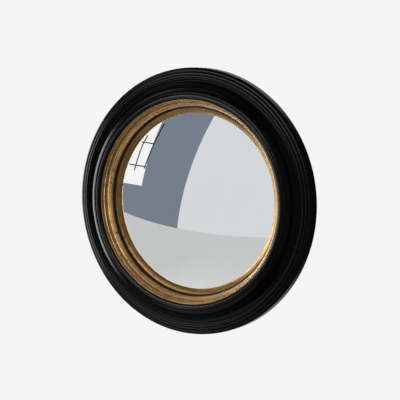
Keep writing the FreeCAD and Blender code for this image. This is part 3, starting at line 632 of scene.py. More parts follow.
def gilding_material(groups, finish):
    """Aged leaf: mottled gold, fine brushed lines, bole where it is rubbed, glaze in the hollows, and
    painted shade in the glaze colour beside the shadow gap.
    """
    material, tree, shader = surface_material("aged_gilding")
    fine = use_group(tree, groups["lines"], Lines_per_Metre=1500.0, Wander=3.0)["Height"]
    broad = use_group(tree, groups["lines"], Lines_per_Metre=420.0, Wander=4.0)["Height"]
    patches = use_group(tree, groups["mottle"], Scale=70.0)["Value"]
    small = use_group(tree, groups["specks"], Scale=560.0, Size=0.38, Share=0.24)["Mask"]
    large = use_group(tree, groups["specks"], Scale=235.0, Size=0.34, Share=0.34)["Mask"]
    # hollow: glaze in the hollows, and on the gilt rings also painted shade beside the shadow gap
    hollow = add_node(tree, "ShaderNodeAttribute", attribute_name="hollow").outputs["Fac"]
    streaks = maths(tree, "MULTIPLY", ramp(tree, fine, 0.40, 0.62), ramp(tree, broad, 0.36, 0.64))
    leaf = mix_colour(tree, maths(tree, "MULTIPLY", patches, 0.35), finish.gold, finish.old_gold)
    leaf = mix_colour(tree, maths(tree, "MULTIPLY", streaks, 0.90), leaf, finish.old_gold)
    spots = maths(tree, "MAXIMUM", small, large)
    spots = maths(tree, "MULTIPLY", spots, ramp(tree, patches, 0.10, 0.55))
    burnt = maths(tree, "MULTIPLY", ramp(tree, broad, 0.50, 0.66), ramp(tree, patches, 0.35, 0.75))
    rubbed = maths(tree, "MAXIMUM", spots, maths(tree, "MULTIPLY", burnt, 0.75))
    leaf = mix_colour(tree, maths(tree, "MULTIPLY", rubbed, 0.80), leaf, finish.bole)
    # Glaze colour in the hollows and painted shade beside the shadow gap; both also take off some metal.
    hollow_glaze_and_gap_shade = ramp(tree, hollow, 0.06, 0.45)
    leaf = mix_colour(tree, hollow_glaze_and_gap_shade, leaf, finish.glaze)
    bare = maths(tree, "MAXIMUM", maths(tree, "MULTIPLY", rubbed, 0.6),
                 maths(tree, "MULTIPLY", hollow_glaze_and_gap_shade, 0.7))
    metal = maths(tree, "SUBTRACT", 0.82, bare, clamp=True)
    rough = maths(tree, "ADD", finish.gilding_roughness, maths(tree, "MULTIPLY", streaks, 0.12))
    height = maths(tree, "SUBTRACT", fine, maths(tree, "MULTIPLY", rubbed, 0.8))
    give(tree, shader, Base_Color=leaf, Metallic=metal, Roughness=rough, Coat_Weight=0.25,
         Coat_Roughness=0.25, Normal=bump(tree, height, 0.00010))
    clear_to_mirror(tree, shader)
    return material


def mirror_material(groups, finish):
    """Silvering behind clear glass: bright, mirror-sharp metal with a trace of bloom."""
    material, tree, shader = surface_material("silvered_glass")
    bloom = use_group(tree, groups["mottle"], Scale=9.0)["Value"]
    silver = mix_colour(tree, bloom, finish.silver, scaled(finish.silver, 0.97))
    give(tree, shader, Base_Color=silver, Metallic=1.0, Roughness=0.0)
    return material


def hardboard_material(groups, finish):
    """Pressed fibreboard: short fibres at random angles and darker pressed patches."""
    material, tree, shader = surface_material("hardboard")
    place = object_place(tree)
    stretched = add_node(tree, "ShaderNodeMapping", {"Vector": place, "Scale": (220.0, 220.0, 1600.0)})
    crossed = add_node(tree, "ShaderNodeMapping",
                       {"Vector": place, "Scale": (1500.0, 220.0, 240.0), "Rotation": (0.0, 0.5, 0.0)})
    fibres = maths(tree, "MULTIPLY", noise(tree, stretched.outputs[0], 1.0, detail=3.0),
                   noise(tree, crossed.outputs[0], 1.0, detail=3.0))
    fibres = ramp(tree, fibres, 0.12, 0.42)
    patches = use_group(tree, groups["mottle"], Scale=22.0)["Value"]
    base = mix_colour(tree, fibres, scaled(finish.hardboard, 0.55), finish.hardboard)
    base = mix_colour(tree, maths(tree, "MULTIPLY", patches, 0.35), base, scaled(finish.hardboard, 1.5))
    rough = maths(tree, "ADD", 0.55, maths(tree, "MULTIPLY", fibres, 0.2))
    give(tree, shader, Base_Color=base, Roughness=rough, Normal=bump(tree, fibres, 0.00015))
    return material


def steel_material(groups, finish):
    """Zinc-plated steel: bright, slightly clouded, with fine drawing marks."""
    material, tree, shader = surface_material("zinc_steel")
    clouds = use_group(tree, groups["mottle"], Scale=160.0)["Value"]
    place = add_node(tree, "ShaderNodeMapping",
                     {"Vector": object_place(tree), "Scale": (400.0, 400.0, 6000.0)})
    marks = noise(tree, place.outputs[0], 1.0)
    base = mix_colour(tree, clouds, finish.steel, scaled(finish.steel, 0.78))
    rough = maths(tree, "ADD", 0.28, maths(tree, "MULTIPLY", clouds, 0.16))
    give(tree, shader, Base_Color=base, Metallic=1.0, Roughness=rough, Normal=bump(tree, marks, 0.00003))
    clear_to_mirror(tree, shader)
    return material


def felt_material():
    """Black felt: matted short fibres."""
    material, tree, shader = surface_material("black_felt")
    fuzz = noise(tree, object_place(tree), 2600.0, detail=4.0, roughness=0.8)
    base = mix_colour(tree, fuzz, (0.006, 0.006, 0.006), (0.035, 0.034, 0.033))
    give(tree, shader, Base_Color=base, Roughness=0.95, Sheen_Weight=0.4,
         Normal=bump(tree, fuzz, 0.0003))
    clear_to_mirror(tree, shader)
    return material


def foam_material():
    """Pale packing foam: open cells."""
    material, tree, shader = surface_material("packing_foam")
    cells = add_node(tree, "ShaderNodeTexVoronoi", {"Vector": object_place(tree), "Scale": 1400.0})
    pores = ramp(tree, cells.outputs["Distance"], 0.15, 0.6)
    base = mix_colour(tree, pores, (0.42, 0.42, 0.41), (0.74, 0.74, 0.71))
    give(tree, shader, Base_Color=base, Roughness=0.9, Normal=bump(tree, pores, 0.0003))
    return material


def bare_material(name):
    """Material without a shader yet: (material, tree)."""
    material, tree, shader = surface_material(name)
    tree.nodes.remove(shader)
    return material, tree


def room_material(name, shade):
    """Evenly shining surface that mirror-sharp reflections see, and soft ones see through. Seen
    by a second reflection it is brighter by extra, so that the glass lights the gilding."""
    extra = 3.0
    material, tree = bare_material(name)
    path = add_node(tree, "ShaderNodeLightPath").outputs
    clear = add_node(tree, "ShaderNodeBsdfTransparent")
    twice = maths(tree, "GREATER_THAN", path["Ray Depth"], 1.5)
    power = maths(tree, "ADD", 1.0, maths(tree, "MULTIPLY", twice, extra))
    light = add_node(tree, "ShaderNodeEmission", {"Color": (*shade, 1.0), "Strength": power})
    swap_surface(tree, path["Is Singular Ray"], clear, light)
    return material


def tent_material():
    """Cloth of the light tent: soft reflections see its panels, mirror-sharp ones see through."""
    material, tree = bare_material("light_tent")
    panels = add_node(tree, "ShaderNodeAttribute", attribute_name="radiance").outputs["Fac"]
    clear_to_mirror(tree, add_node(tree, "ShaderNodeEmission", {"Strength": panels}))
    return material


MATERIALS = {}


def materials(scene):
    """The mirror's materials, made once."""
    if not MATERIALS:
        groups = build_groups()
        finish = scene.mirror_finishes
        MATERIALS.update(
            lacquer=lacquer_material(groups, finish),
            gilding=gilding_material(groups, finish),
            mirror=mirror_material(groups, finish),
            hardboard=hardboard_material(groups, finish),
            steel=steel_material(groups, finish),
            felt=felt_material(),
            foam=foam_material(),
        )
    return MATERIALS


# ------------------------------------------------------------------ shapes of the rings


def ring_places(sizes):
    """Radii and depths along the front, from the rim inwards, and those of the seats behind."""
    place = {"rim": sizes.rim_radius, "rim_top": sizes.rim_lift + sizes.rim_wall}
    place["rim_bead"] = place["rim"] - sizes.rim_bead_width
    place["reed_top"] = place["rim_top"] + sizes.rim_bead_rise
    place["reed_out"] = place["rim_bead"] - sizes.groove_width
    place["reed_in"] = place["reed_out"] - sizes.reed_width
    place["arris_foot"] = place["reed_top"] + sizes.reed_rise
    place["arris_out"] = place["reed_in"] - sizes.groove_width
    place["arris_in"] = place["arris_out"] - sizes.arris_width
    place["arris_top"] = place["arris_foot"] + sizes.arris_rise
    place["step_bead_out"] = place["arris_in"] - sizes.step_wall_width
    place["step_bead_top"] = place["arris_top"] - sizes.step_wall_drop
    place["step_bead_in"] = place["step_bead_out"] - sizes.step_bead_width
    place["step_foot_top"] = place["step_bead_top"] - sizes.step_bead_drop
    place["cove_foot"] = place["step_bead_in"] - sizes.step_foot_width
    place["cove_bottom"] = place["step_foot_top"] - sizes.step_foot_drop
    place["valley"] = place["cove_foot"] - sizes.cove_width
    place["valley_top"] = place["cove_bottom"] + sizes.cove_rise
    place["roll_in"] = place["valley"] - sizes.roll_width
    place["roll_top"] = place["valley_top"] + sizes.roll_rise
    place["bead_out"] = place["roll_in"] - sizes.quirk_width
    place["gilt"] = place["bead_out"] - sizes.inner_bead_width
    place["gilt_top"] = place["roll_top"] - sizes.inner_bead_drop
    place["gilt_quirk"] = place["gilt"] - sizes.gilt_bead_width
    place["gilt_quirk_top"] = place["gilt_top"] - sizes.gilt_bead_drop
    place["gilt_ogee"] = place["gilt_quirk"] - sizes.gilt_ogee_width
    place["gilt_ogee_top"] = place["gilt_quirk_top"] - sizes.gilt_ogee_drop
    place["gilt_foot"] = place["gilt_ogee"] - sizes.gilt_foot_width
    place["gilt_foot_top"] = place["gilt_ogee_top"] - sizes.gilt_foot_drop
    place["sight_out"] = place["gilt_foot"] - sizes.shadow_gap
    place["sight_top"] = place["gilt_foot_top"] - sizes.shadow_height
    place["sight"] = place["sight_out"] - sizes.sight_width
    place["sight_edge"] = place["sight_top"] - sizes.sight_drop
    place["crest_seat"] = place["valley_top"] - sizes.crest_seat_drop
    place["gilt_seat"] = place["gilt_foot_top"] - sizes.gilt_seat_drop
    place["flange"] = place["sight_out"] + sizes.flange_width
    place["flange_top"] = place["sight_top"] - sizes.flange_drop
    place["sight_under"] = place["sight_edge"] - sizes.sight_lip
    place["ledge"] = place["sight_under"] + sizes.ledge_rise
    return place


def back_radii(place, back):
    """Radii of the bore, of the recess's edge and of the back's outer edge."""
    edge = place["rim"] - back.bevel_width
    return BOARD_RADIUS + back.bore_gap, edge - back.bearing_width, edge


def base_corners(place, sizes, back):
    """Base moulding, anticlockwise in (radius, depth) from the recess round the front."""
    bore, recess, back_radius = back_radii(place, back)
    groove = sizes.groove_width / 2.0
    floor = RECESS_FLOOR + back.floor_gap
    return [
        (recess, 0.0, 0.0),
        (back_radius, 0.0, 0.0),
        (place["rim"], sizes.rim_lift, 0.0),
        (place["rim"], place["rim_top"], sizes.rim_bead_swell),
        (place["rim_bead"], place["reed_top"], 0.0),
        (place["reed_out"] + groove, place["reed_top"] - sizes.groove_depth, 0.0),
        (place["reed_out"], place["reed_top"], sizes.reed_swell),
        (place["reed_in"], place["arris_foot"], 0.0),
        (place["arris_out"] + groove, place["arris_foot"] - sizes.groove_depth, 0.0),
        (place["arris_out"], place["arris_foot"], sizes.arris_swell),
        (place["arris_in"] - sizes.arris_shoulder / 2.0,
         place["arris_top"] - sizes.arris_shoulder, 0.0),
        (place["step_bead_out"], place["step_bead_top"], sizes.step_bead_swell),
        (place["step_bead_in"], place["step_foot_top"], 0.0),
        (place["cove_foot"], place["cove_bottom"], -sizes.cove_hollow),
        (place["valley"], place["valley_top"], 0.0),
        (place["valley"], place["crest_seat"], 0.0),
        (place["gilt"] + sizes.glue_gap, place["crest_seat"], 0.0),
        (place["gilt"] + sizes.glue_gap, place["gilt_seat"], 0.0),
        (place["flange"] + sizes.glue_gap, place["gilt_seat"], 0.0),
        (place["flange"] + sizes.glue_gap, place["ledge"], 0.0),
        (bore, place["ledge"], 0.0),
        (bore, floor, 0.0),
        (recess, floor, 0.0),
    ]


def crest_corners(place, sizes):
    """Crest moulding, anticlockwise from its seat round the roll, the quirk and the bead."""
    outside = place["valley"] - sizes.glue_gap
    inside = place["gilt"] + sizes.glue_gap
    quirk_middle = place["bead_out"] + sizes.quirk_width / 2.0
    return [
        (inside, place["crest_seat"], 0.0),
        (outside, place["crest_seat"], 0.0),
        (outside, place["valley_top"], sizes.roll_swell),
        (place["roll_in"], place["roll_top"], 0.0),
        (quirk_middle, place["roll_top"] - sizes.quirk_depth, 0.0),
        (place["bead_out"], place["roll_top"] - sizes.quirk_depth / 2.0, sizes.inner_bead_swell),
        (inside, place["gilt_top"], 0.0),
    ]


def gilt_corners(place, sizes):
    """Gilt moulding, anticlockwise from its seat round the bead, the quirk and the slopes."""
    quirk = sizes.gilt_quirk
    return [
        (place["gilt_foot"], place["gilt_seat"], 0.0),
        (place["gilt"], place["gilt_seat"], 0.0),
        (place["gilt"], place["gilt_top"], sizes.gilt_bead_swell),
        (place["gilt_quirk"], place["gilt_quirk_top"] + quirk, 0.0),
        (place["gilt_quirk"] + quirk / 2.0, place["gilt_quirk_top"] - quirk / 2.0, 0.0),
        (place["gilt_quirk"] - quirk, place["gilt_quirk_top"] - quirk, sizes.gilt_ogee_swell),
        (place["gilt_ogee"], place["gilt_ogee_top"], -sizes.gilt_foot_hollow),
        (place["gilt_foot"], place["gilt_foot_top"], 0.0),
    ]


def sight_corners(place, sizes, back):
    """Sight ring, anticlockwise from its lip round the spigot and the flange to its face."""
    bore, _, _ = back_radii(place, back)
    spigot = bore - sizes.glue_gap
    return [
        (place["sight"], place["sight_under"], 0.0),
        (spigot, place["sight_under"], 0.0),
        (spigot, place["ledge"], 0.0),
        (place["flange"], place["ledge"], 0.0),
        (place["flange"], place["flange_top"], 0.0),
        (place["sight_out"], place["flange_top"], 0.0),
        (place["sight_out"], place["sight_top"], sizes.sight_swell),
        (place["sight"], place["sight_edge"], 0.0),
    ]


def notch_reach(angles, back, recess, back_radius):
    """How far the recess's edge moves out at each angle: to the notch's far edge or side,
    whichever comes first, and nowhere inwards. The notch lies within notch_angle of the top."""
    notch_angle, least = 0.2, 1e-6
    off_top = np.abs((angles - TOP_ANGLE + math.pi) % (2.0 * math.pi) - math.pi)
    far = (back_radius - back.notch_land) / np.maximum(np.cos(off_top), least)
    side = back.notch_width / 2.0 / np.maximum(np.sin(off_top), least)
    reach = np.minimum(far, side) - recess
    return np.where(off_top < notch_angle, np.maximum(reach, 0.0), 0.0)


def round_spots(radius, depth, count, start):
    """Evenly spaced places round the mirror's axis."""
    angles = start + even_angles(count)
    return np.stack([radius * np.cos(angles), np.full(count, -depth), radius * np.sin(angles)], axis=1)


def pivot_reach(sizes):
    """Distance of the turn buttons' pivots from the mirror's axis."""
    return node_radius("turn_button_screws") - sizes.pan_radius


def cross_angles():
    """Angles round a screw's head, closest together at the arms of its cross recess."""
    quarter = np.array([-45.0, -30.0, -20.0, -14.5, -11.0, -7.0, 0.0, 7.0, 11.0, 14.5, 20.0, 30.0])
    return np.radians(np.concatenate([90.0 * turn + quarter for turn in range(4)]))


def cross_recess(sizes, top):
    """Function that gives the depth of the cross recess at (x, z): two crossed slots with leaning
    walls and sloping ends. Points well below the head's top are left alone."""
    lowest = top - 0.5 * MM

    def sink(x, z, y):
        away = np.hypot(x, z)
        near_arm = np.minimum(np.abs(x), np.abs(z))
        wall = np.clip((sizes.cross_half_width - near_arm) / sizes.cross_lean + 0.5, 0.0, 1.0)
        end = np.clip((sizes.cross_reach - away) / sizes.cross_run_out, 0.0, 1.0)
        return np.where(y > lowest, sizes.cross_depth * wall * end, 0.0)
    return sink


def head_rows(reach):
    """Radii across the flat of a screw's head."""
    return np.linspace(0.0, reach, 15)


def screw_shank(radius, start, length):
    """Shank and point, as (radius, distance along +Y from the head's underside)."""
    return [(radius, start), (radius, 2.0 * radius - length),
            (0.4 * radius, 0.5 * radius - length), (0.0, -length)]


def pan_head_outline(sizes):
    """Pan head with a flat top, a domed shoulder and a low wall, from its top to the point."""
    radius, height = sizes.pan_radius, sizes.pan_height
    flat, wall = 0.55 * radius, 0.3 * height
    turn = np.linspace(0.0, math.pi / 2.0, 9)[1:]
    rows = [(r, height) for r in head_rows(flat)]
    rows += [(flat + (radius - flat) * math.sin(a), wall + (height - wall) * math.cos(a)) for a in turn]
    rows += [(radius, 0.06 * height), (0.98 * radius, 0.0), (1.02 * sizes.screw_radius, 0.0)]
    return np.array(rows + screw_shank(sizes.screw_radius, -0.1 * MM, sizes.screw_length))


def countersunk_outline(sizes):
    """Flat head over a cone, from its top to the point."""
    head, shank = sizes.countersunk_radius, sizes.frame_screw_radius
    rows = [(r, 0.0) for r in head_rows(0.93 * head)]
    rows += [(0.985 * head, -0.04 * MM), (head, -0.15 * MM)]
    return np.array(rows + screw_shank(shank, shank - head, sizes.frame_screw_length))


def button_plate(name, pivot, turn, rear, sizes):
    """Flat button with rounded edges and a pivot hole, closed both ways. Its outline is the hull
    of two circles: at each angle the point of the circle that reaches further that way. Its
    straight sides run between two angles that lie close together. Rows run from the hole over
    the rear face and the edge to the front face and back through the hole."""
    lean = math.acos((sizes.button_tip - sizes.button_heel) / sizes.button_reach)
    sides = np.add.outer([lean, 2.0 * math.pi - lean], [-1e-5, 1e-5]).ravel()
    angles = np.sort(np.concatenate([np.radians(np.arange(0.0, 360.0, 6.0)), sides]))
    way = np.stack([np.cos(angles), np.sin(angles)], axis=1)
    on_tip = sizes.button_tip - sizes.button_reach * way[:, 0] > sizes.button_heel
    middle = np.where(on_tip[:, None], [-sizes.button_reach, 0.0], 0.0)
    radius = np.where(on_tip, sizes.button_tip, sizes.button_heel)[:, None]
    thick, edge, burr = sizes.button_thickness, sizes.button_round, sizes.button_burr
    rounding = [(middle + (radius - edge * (1.0 - math.sin(b))) * way, edge * (1.0 - math.cos(b)))
                for b in np.linspace(0.0, math.pi / 2.0, 5)]
    rear_half = [(sizes.button_hole * way, burr), ((sizes.button_hole + burr) * way, 0.0), *rounding]
    rows = rear_half + [(ring, thick - height) for ring, height in rear_half[::-1]]
    flat = np.array([row for row, _ in rows])
    lift = np.array([height for _, height in rows])[:, None]
    x = pivot[0] + flat[..., 0] * math.cos(turn) - flat[..., 1] * math.sin(turn)
    z = pivot[2] + flat[..., 0] * math.sin(turn) + flat[..., 1] * math.cos(turn)
    points = np.stack([x, np.broadcast_to(-rear - lift, x.shape), z], axis=2)
    faces = grid_faces(len(rows), len(angles), wrap_rows=True, wrap_columns=True)
    return make_piece(name, points.reshape(-1, 3), [faces])


def painted_gap_shade(outline, place):
    """Painted shade beside the shadow gap, where the gilt foot shades the sight ring: 1 there, falling
    to 0 at reach from its middle. The gilding darkens it with the glaze colour.
    """
    reach, fade = 2.21 * MM, 1.7 * MM
    away = np.abs(outline[:, 0] - (place["gilt_foot"] + place["sight_out"]) / 2.0)
    return np.clip((reach - away) / fade, -1.0, 1.0)


# ------------------------------------------------------------------ operators


class MIRROR_OT_base_moulding(bpy.types.Operator):
    """Turn the black outer ring with its rim, reed, step and cove, and its recessed back"""

    bl_idname = "mirror.base_moulding"
    bl_label = "Base Moulding"

    def execute(self, context):
        sizes, back = context.scene.mirror_mouldings, context.scene.mirror_back
        place = ring_places(sizes)
        corners = base_corners(place, sizes, back)
        outline, relief = soft_outline(corners, sizes.edge_softness, count=230)
        bore, recess, back_radius = back_radii(place, back)
        angles = np.union1d(even_angles(RING_STEPS), self.notch_angles(back, recess))
        back_depth = RECESS_FLOOR + 0.4 * MM
        behind = outline[:, 1] < back_depth
        weight = np.interp(outline[:, 0], [bore, recess, back_radius], [0.0, 1.0, 0.0]) * behind
        shift = np.outer(notch_reach(angles, back, recess, back_radius), weight)
        piece = turned_ring("black_base_ring", outline, relief, angles, shift)
        settle(piece, "frame", "black_lacquer", materials(context.scene)["lacquer"], "base_moulding")
        return {"FINISHED"}

    @staticmethod
    def notch_angles(back, recess):
        """More angles where the sides of the notch lie, which keep its corners sharp."""
        side = back.notch_width / 2.0 / recess
        return TOP_ANGLE + np.outer([-1.0, 1.0], side * np.linspace(0.85, 1.02, 12)).ravel()


class MIRROR_OT_crest_moulding(bpy.types.Operator):
    """Turn the black ring with the roll, the quirk and the bead beside the gilding"""

    bl_idname = "mirror.crest_moulding"
    bl_label = "Crest Moulding"

    def execute(self, context):
        sizes = context.scene.mirror_mouldings
        corners = crest_corners(ring_places(sizes), sizes)
        outline, relief = soft_outline(corners, sizes.edge_softness, count=150)
        piece = turned_ring("black_crest_ring", outline, relief, even_angles(RING_STEPS))
        settle(piece, "frame", "black_lacquer", materials(context.scene)["lacquer"], "crest_moulding")
        return {"FINISHED"}


class MIRROR_OT_gilt_moulding(bpy.types.Operator):
    """Turn the gilded ring with its bead, fine quirk and hollow slope"""

    bl_idname = "mirror.gilt_moulding"
    bl_label = "Gilt Moulding"

    def execute(self, context):
        sizes = context.scene.mirror_mouldings
        place = ring_places(sizes)
        corners = gilt_corners(place, sizes)
        outline, relief = soft_outline(corners, sizes.edge_softness, count=130)
        # Glaze in the hollows, plus painted shade beside the shadow gap
        glaze_and_gap_shade = np.maximum(relief, painted_gap_shade(outline, place))
        piece = turned_ring("gilt_ring", outline, glaze_and_gap_shade, even_angles(RING_STEPS))
        settle(piece, "frame", "aged_gilding", materials(context.scene)["gilding"], "gilt_moulding")
        return {"FINISHED"}


class MIRROR_OT_sight_ring(bpy.types.Operator):
    """Turn the gilded inner slip round the glass"""

    bl_idname = "mirror.sight_ring"
    bl_label = "Sight Ring"

    def execute(self, context):
        sizes, back = context.scene.mirror_mouldings, context.scene.mirror_back
        place = ring_places(sizes)
        corners = sight_corners(place, sizes, back)
        outline, relief = soft_outline(corners, sizes.edge_softness, count=110)
        # Glaze in the hollows, plus painted shade beside the shadow gap
        glaze_and_gap_shade = np.maximum(relief, painted_gap_shade(outline, place))
        piece = turned_ring("gilt_sight_ring", outline, glaze_and_gap_shade, even_angles(RING_STEPS))
        settle(piece, "frame", "aged_gilding", materials(context.scene)["gilding"], "sight_ring")
        return {"FINISHED"}


class MIRROR_OT_glass(bpy.types.Operator):
    """Blow the domed, silvered glass"""

    bl_idname = "mirror.glass"
    bl_label = "Domed Glass"

    def execute(self, context):
        thickness = context.scene.mirror_back.glass_thickness
        rise = GLASS_CREST - (node_depth("mirror_glass")[0] + thickness)
        sphere = (GLASS_RADIUS ** 2 + rise ** 2) / (2.0 * rise)
        front = self.dome(sphere, sphere, count=90)
        rear = self.dome(sphere, sphere - thickness, count=30)[::-1]
        outline = np.concatenate([front, rear])
        piece = turned_solid("domed_mirror", np.zeros((1, 3)), outline, even_angles(256))
        settle(piece, "frame", "silvered_glass", materials(context.scene)["mirror"], "mirror_glass")
        return {"FINISHED"}

    @staticmethod
    def dome(sphere, radius, count):
        """Arc of that radius from the axis to the glass's edge, about the front sphere's centre."""
        lean = np.linspace(0.0, math.asin(GLASS_RADIUS / radius), count)
        depth = GLASS_CREST - sphere + radius * np.cos(lean)
        return np.stack([radius * np.sin(lean), -depth], axis=1)


class MIRROR_OT_backing(bpy.types.Operator):
    """Finish the backboard, the felt and the packing"""

    bl_idname = "mirror.backing"
    bl_label = "Backing"

    def execute(self, context):
        ready = materials(context.scene)
        refinish("backboard", ready["hardboard"])
        refinish("glass_felt", ready["felt"])
        refinish("packing_ring", ready["foam"])
        return {"FINISHED"}


class MIRROR_OT_screws(bpy.types.Operator):
    """Turn the screws of the frame, the buttons and the hanger, with cross recesses"""

    bl_idname = "mirror.screws"
    bl_label = "Screws"

    def execute(self, context):
        sizes = context.scene.mirror_fittings
        steel = materials(context.scene)["steel"]
        pan, height = pan_head_outline(sizes), sizes.pan_height
        for name, node, spots, outline, top in (
                ("button_screws", "turn_button_screws", self.button_spots(sizes), pan, height),
                ("strap_screws", "hanger_screws", self.hanger_spots(sizes), pan, height),
                ("moulding_screws", "frame_screws", self.frame_spots(sizes),
                 countersunk_outline(sizes), 0.0)):
            piece = turned_solid(name, spots, outline, cross_angles(), cross_recess(sizes, top))
            settle(piece, "frame", "zinc_steel", steel, node)
        return {"FINISHED"}

    @staticmethod
    def button_spots(sizes):
        """One screw in the middle of each turn button's heel."""
        depth = node_depth("turn_button_screws")[0] + sizes.pan_height
        return round_spots(pivot_reach(sizes), depth, BUTTON_COUNT, 0.0)

    @staticmethod
    def hanger_spots(sizes):
        """One screw above the other."""
        middle, half = box_middle("hanger_screws")
        depth = node_depth("hanger_screws")[0] + sizes.pan_height
        offset = half[2] - sizes.pan_radius
        return np.array([[0.0, -depth, middle[2] + side * offset] for side in (-1.0, 1.0)])

    @staticmethod
    def frame_spots(sizes):
        """Eight screws, the first half a step from the side, so that they reach
        (r cos 22.5 deg + head radius) sideways."""
        half_step = math.pi / FRAME_SCREW_COUNT
        reach = (node_radius("frame_screws") - sizes.countersunk_radius) / math.cos(half_step)
        return round_spots(reach, RECESS_FLOOR, FRAME_SCREW_COUNT, half_step)


class MIRROR_OT_turn_buttons(bpy.types.Operator):
    """Stamp the six turn buttons that hold the backboard, each on its own pivot"""

    bl_idname = "mirror.turn_buttons"
    bl_label = "Turn Buttons"

    def execute(self, context):
        sizes = context.scene.mirror_fittings
        steel = materials(context.scene)["steel"]
        rear = node_depth("turn_button_1")[0]
        pivots = round_spots(pivot_reach(sizes), rear, BUTTON_COUNT, 0.0)
        for index, (pivot, turn) in enumerate(zip(pivots, even_angles(BUTTON_COUNT)), start=1):
            node = f"turn_button_{index}"
            piece = button_plate(f"steel_button_{index}", pivot, turn, rear, sizes)
            settle(piece, node, "zinc_steel", steel, node)
        return {"FINISHED"}


class MIRROR_OT_hanger(bpy.types.Operator):
    """Finish the folded strap and the D-ring"""

    bl_idname = "mirror.hanger"
    bl_label = "Hanger"

    def execute(self, context):
        steel = materials(context.scene)["steel"]
        refinish("hanger_strap", steel)
        refinish("hanger_ring", steel)
        return {"FINISHED"}


# ------------------------------------------------------------------ studio


LAMP_DISTANCE = 2.6
FLOOR_RADIUS = 14.0
CLEAR_SURFACES = 24  # how many clear walls of rings a mirror-sharp ray may cross on its way out

# The room that the glass mirrors, in metres along the frame's axes. The corner between its walls
# and the side of its window lean, and are given as x at the bottom and x at the top.
ROOM_LEFT, ROOM_RIGHT = -12.0, 3.5
ROOM_FRONT, ROOM_REAR = -5.2, 2.5
ROOM_FLOOR, ROOM_CEILING = -1.45, 3.0
ROOM_CORNER = (-3.95, -2.17)
WINDOW_FRONT, WINDOW_SILL = -5.1, -0.2
WINDOW_SIDE = (-6.2, -4.8)
BARS_FRONT = -5.05

# Glazing bars of the window: width sideways, thickness upwards, and places (x, z) along the
# middle. Two are crossbars and two are leaning uprights.
WINDOW_BARS = (
    (0.0, 0.04, ((-6.50, 1.39), (-5.37, 1.28))),
    (0.0, 0.04, ((-7.59, 0.56), (-5.86, 0.48))),
    (0.10, 0.0, ((-4.98, 1.98), (-5.41, 1.30), (-5.98, 0.41))),
    (0.12, 0.0, ((-6.08, 1.62), (-6.39, 1.30), (-6.94, 0.32))),
)

# Panels of the light tent, in degrees and as radiance: azimuth, half width, elevation, half
# height, softness of the edges, radiance. Azimuth grows to the right of the mirror's front.
TENT_PANELS = (
    (-97.0, 30.0, -4.0, 19.0, 8.0, 2.60),
    (-143.0, 18.0, -3.0, 18.0, 9.0, 3.30),
    (-36.0, 8.0, -9.0, 31.0, 5.0, 0.80),
    (-16.0, 22.0, 20.0, 13.0, 6.0, 1.50),
    (-90.0, 25.0, 46.0, 12.0, 10.0, 0.30),
    (-110.0, 40.0, 78.0, 12.0, 10.0, 0.15),
    (-30.0, 45.0, -58.0, 20.0, 15.0, 0.20),
    (45.0, 60.0, 0.0, 50.0, 25.0, 0.05),
    (-172.0, 20.0, 0.0, 45.0, 15.0, 0.50),
)
TENT_FLOOR = 0.012
TENT_RADIUS = 1.35


def look_from(azimuth, elevation):
    """Unit vector towards a place at that turn to the right of the front and that height."""
    return Vector((math.sin(azimuth) * math.cos(elevation),
                   -math.cos(azimuth) * math.cos(elevation),
                   math.sin(elevation)))


def add_lamp(name, azimuth, elevation, side, radiance):
    """Soft square lamp that faces the mirror, turned by degrees from its front. A flat lamp of
    even radiance gives off pi x area x radiance watts."""
    data = bpy.data.lights.new(name, "AREA")
    data.shape = "RECTANGLE"
    data.size = data.size_y = side
    data.energy = math.pi * side ** 2 * radiance
    lamp = bpy.data.objects.new(name, data)
    towards = look_from(math.radians(azimuth), math.radians(elevation))
    lamp.location = towards * LAMP_DISTANCE
    lamp.rotation_euler = towards.to_track_quat("Z", "Y").to_euler()
    lamp.visible_camera = lamp.visible_glossy = False
    bpy.context.scene.collection.objects.link(lamp)


def show_only_to_reflections(thing):
    """Hide a thing of the studio from the camera, and keep it from shading anything."""
    thing.visible_camera = thing.visible_diffuse = thing.visible_shadow = False


def add_board(name, corners, shade):
    """Flat board of the room that the glass mirrors."""
    board = bpy.data.objects.new(name, bpy.data.meshes.new(name))
    board.data.from_pydata(corners, [], [tuple(range(len(corners)))])
    board.data.materials.append(room_material(name, shade))
    bpy.context.scene.collection.objects.link(board)
    show_only_to_reflections(board)


def upright(left, right, bottom, top, front):
    """Corners of an upright board; left and right are x at the bottom and x at the top."""
    return [(left[0], front, bottom), (right[0], front, bottom),
            (right[1], front, top), (left[1], front, top)]


def tent_radiance(azimuth, elevation):
    """Sum of the panels at a direction in degrees, over a faint floor: each is a product of two
    smooth steps that fall to nothing over its softness."""
    total = np.full(np.broadcast(azimuth, elevation).shape, TENT_FLOOR)
    for middle, half_width, height, half_height, softness, radiance in TENT_PANELS:
        aside = np.abs((azimuth - middle + 180.0) % 360.0 - 180.0)
        above = np.abs(elevation - height)
        inside = [np.clip((half - away) / softness + 0.5, 0.0, 1.0)
                  for half, away in ((half_width, aside), (half_height, above))]
        smooth = [part * part * (3.0 - 2.0 * part) for part in inside]
        total = total + radiance * np.prod(smooth, axis=0)
    return total


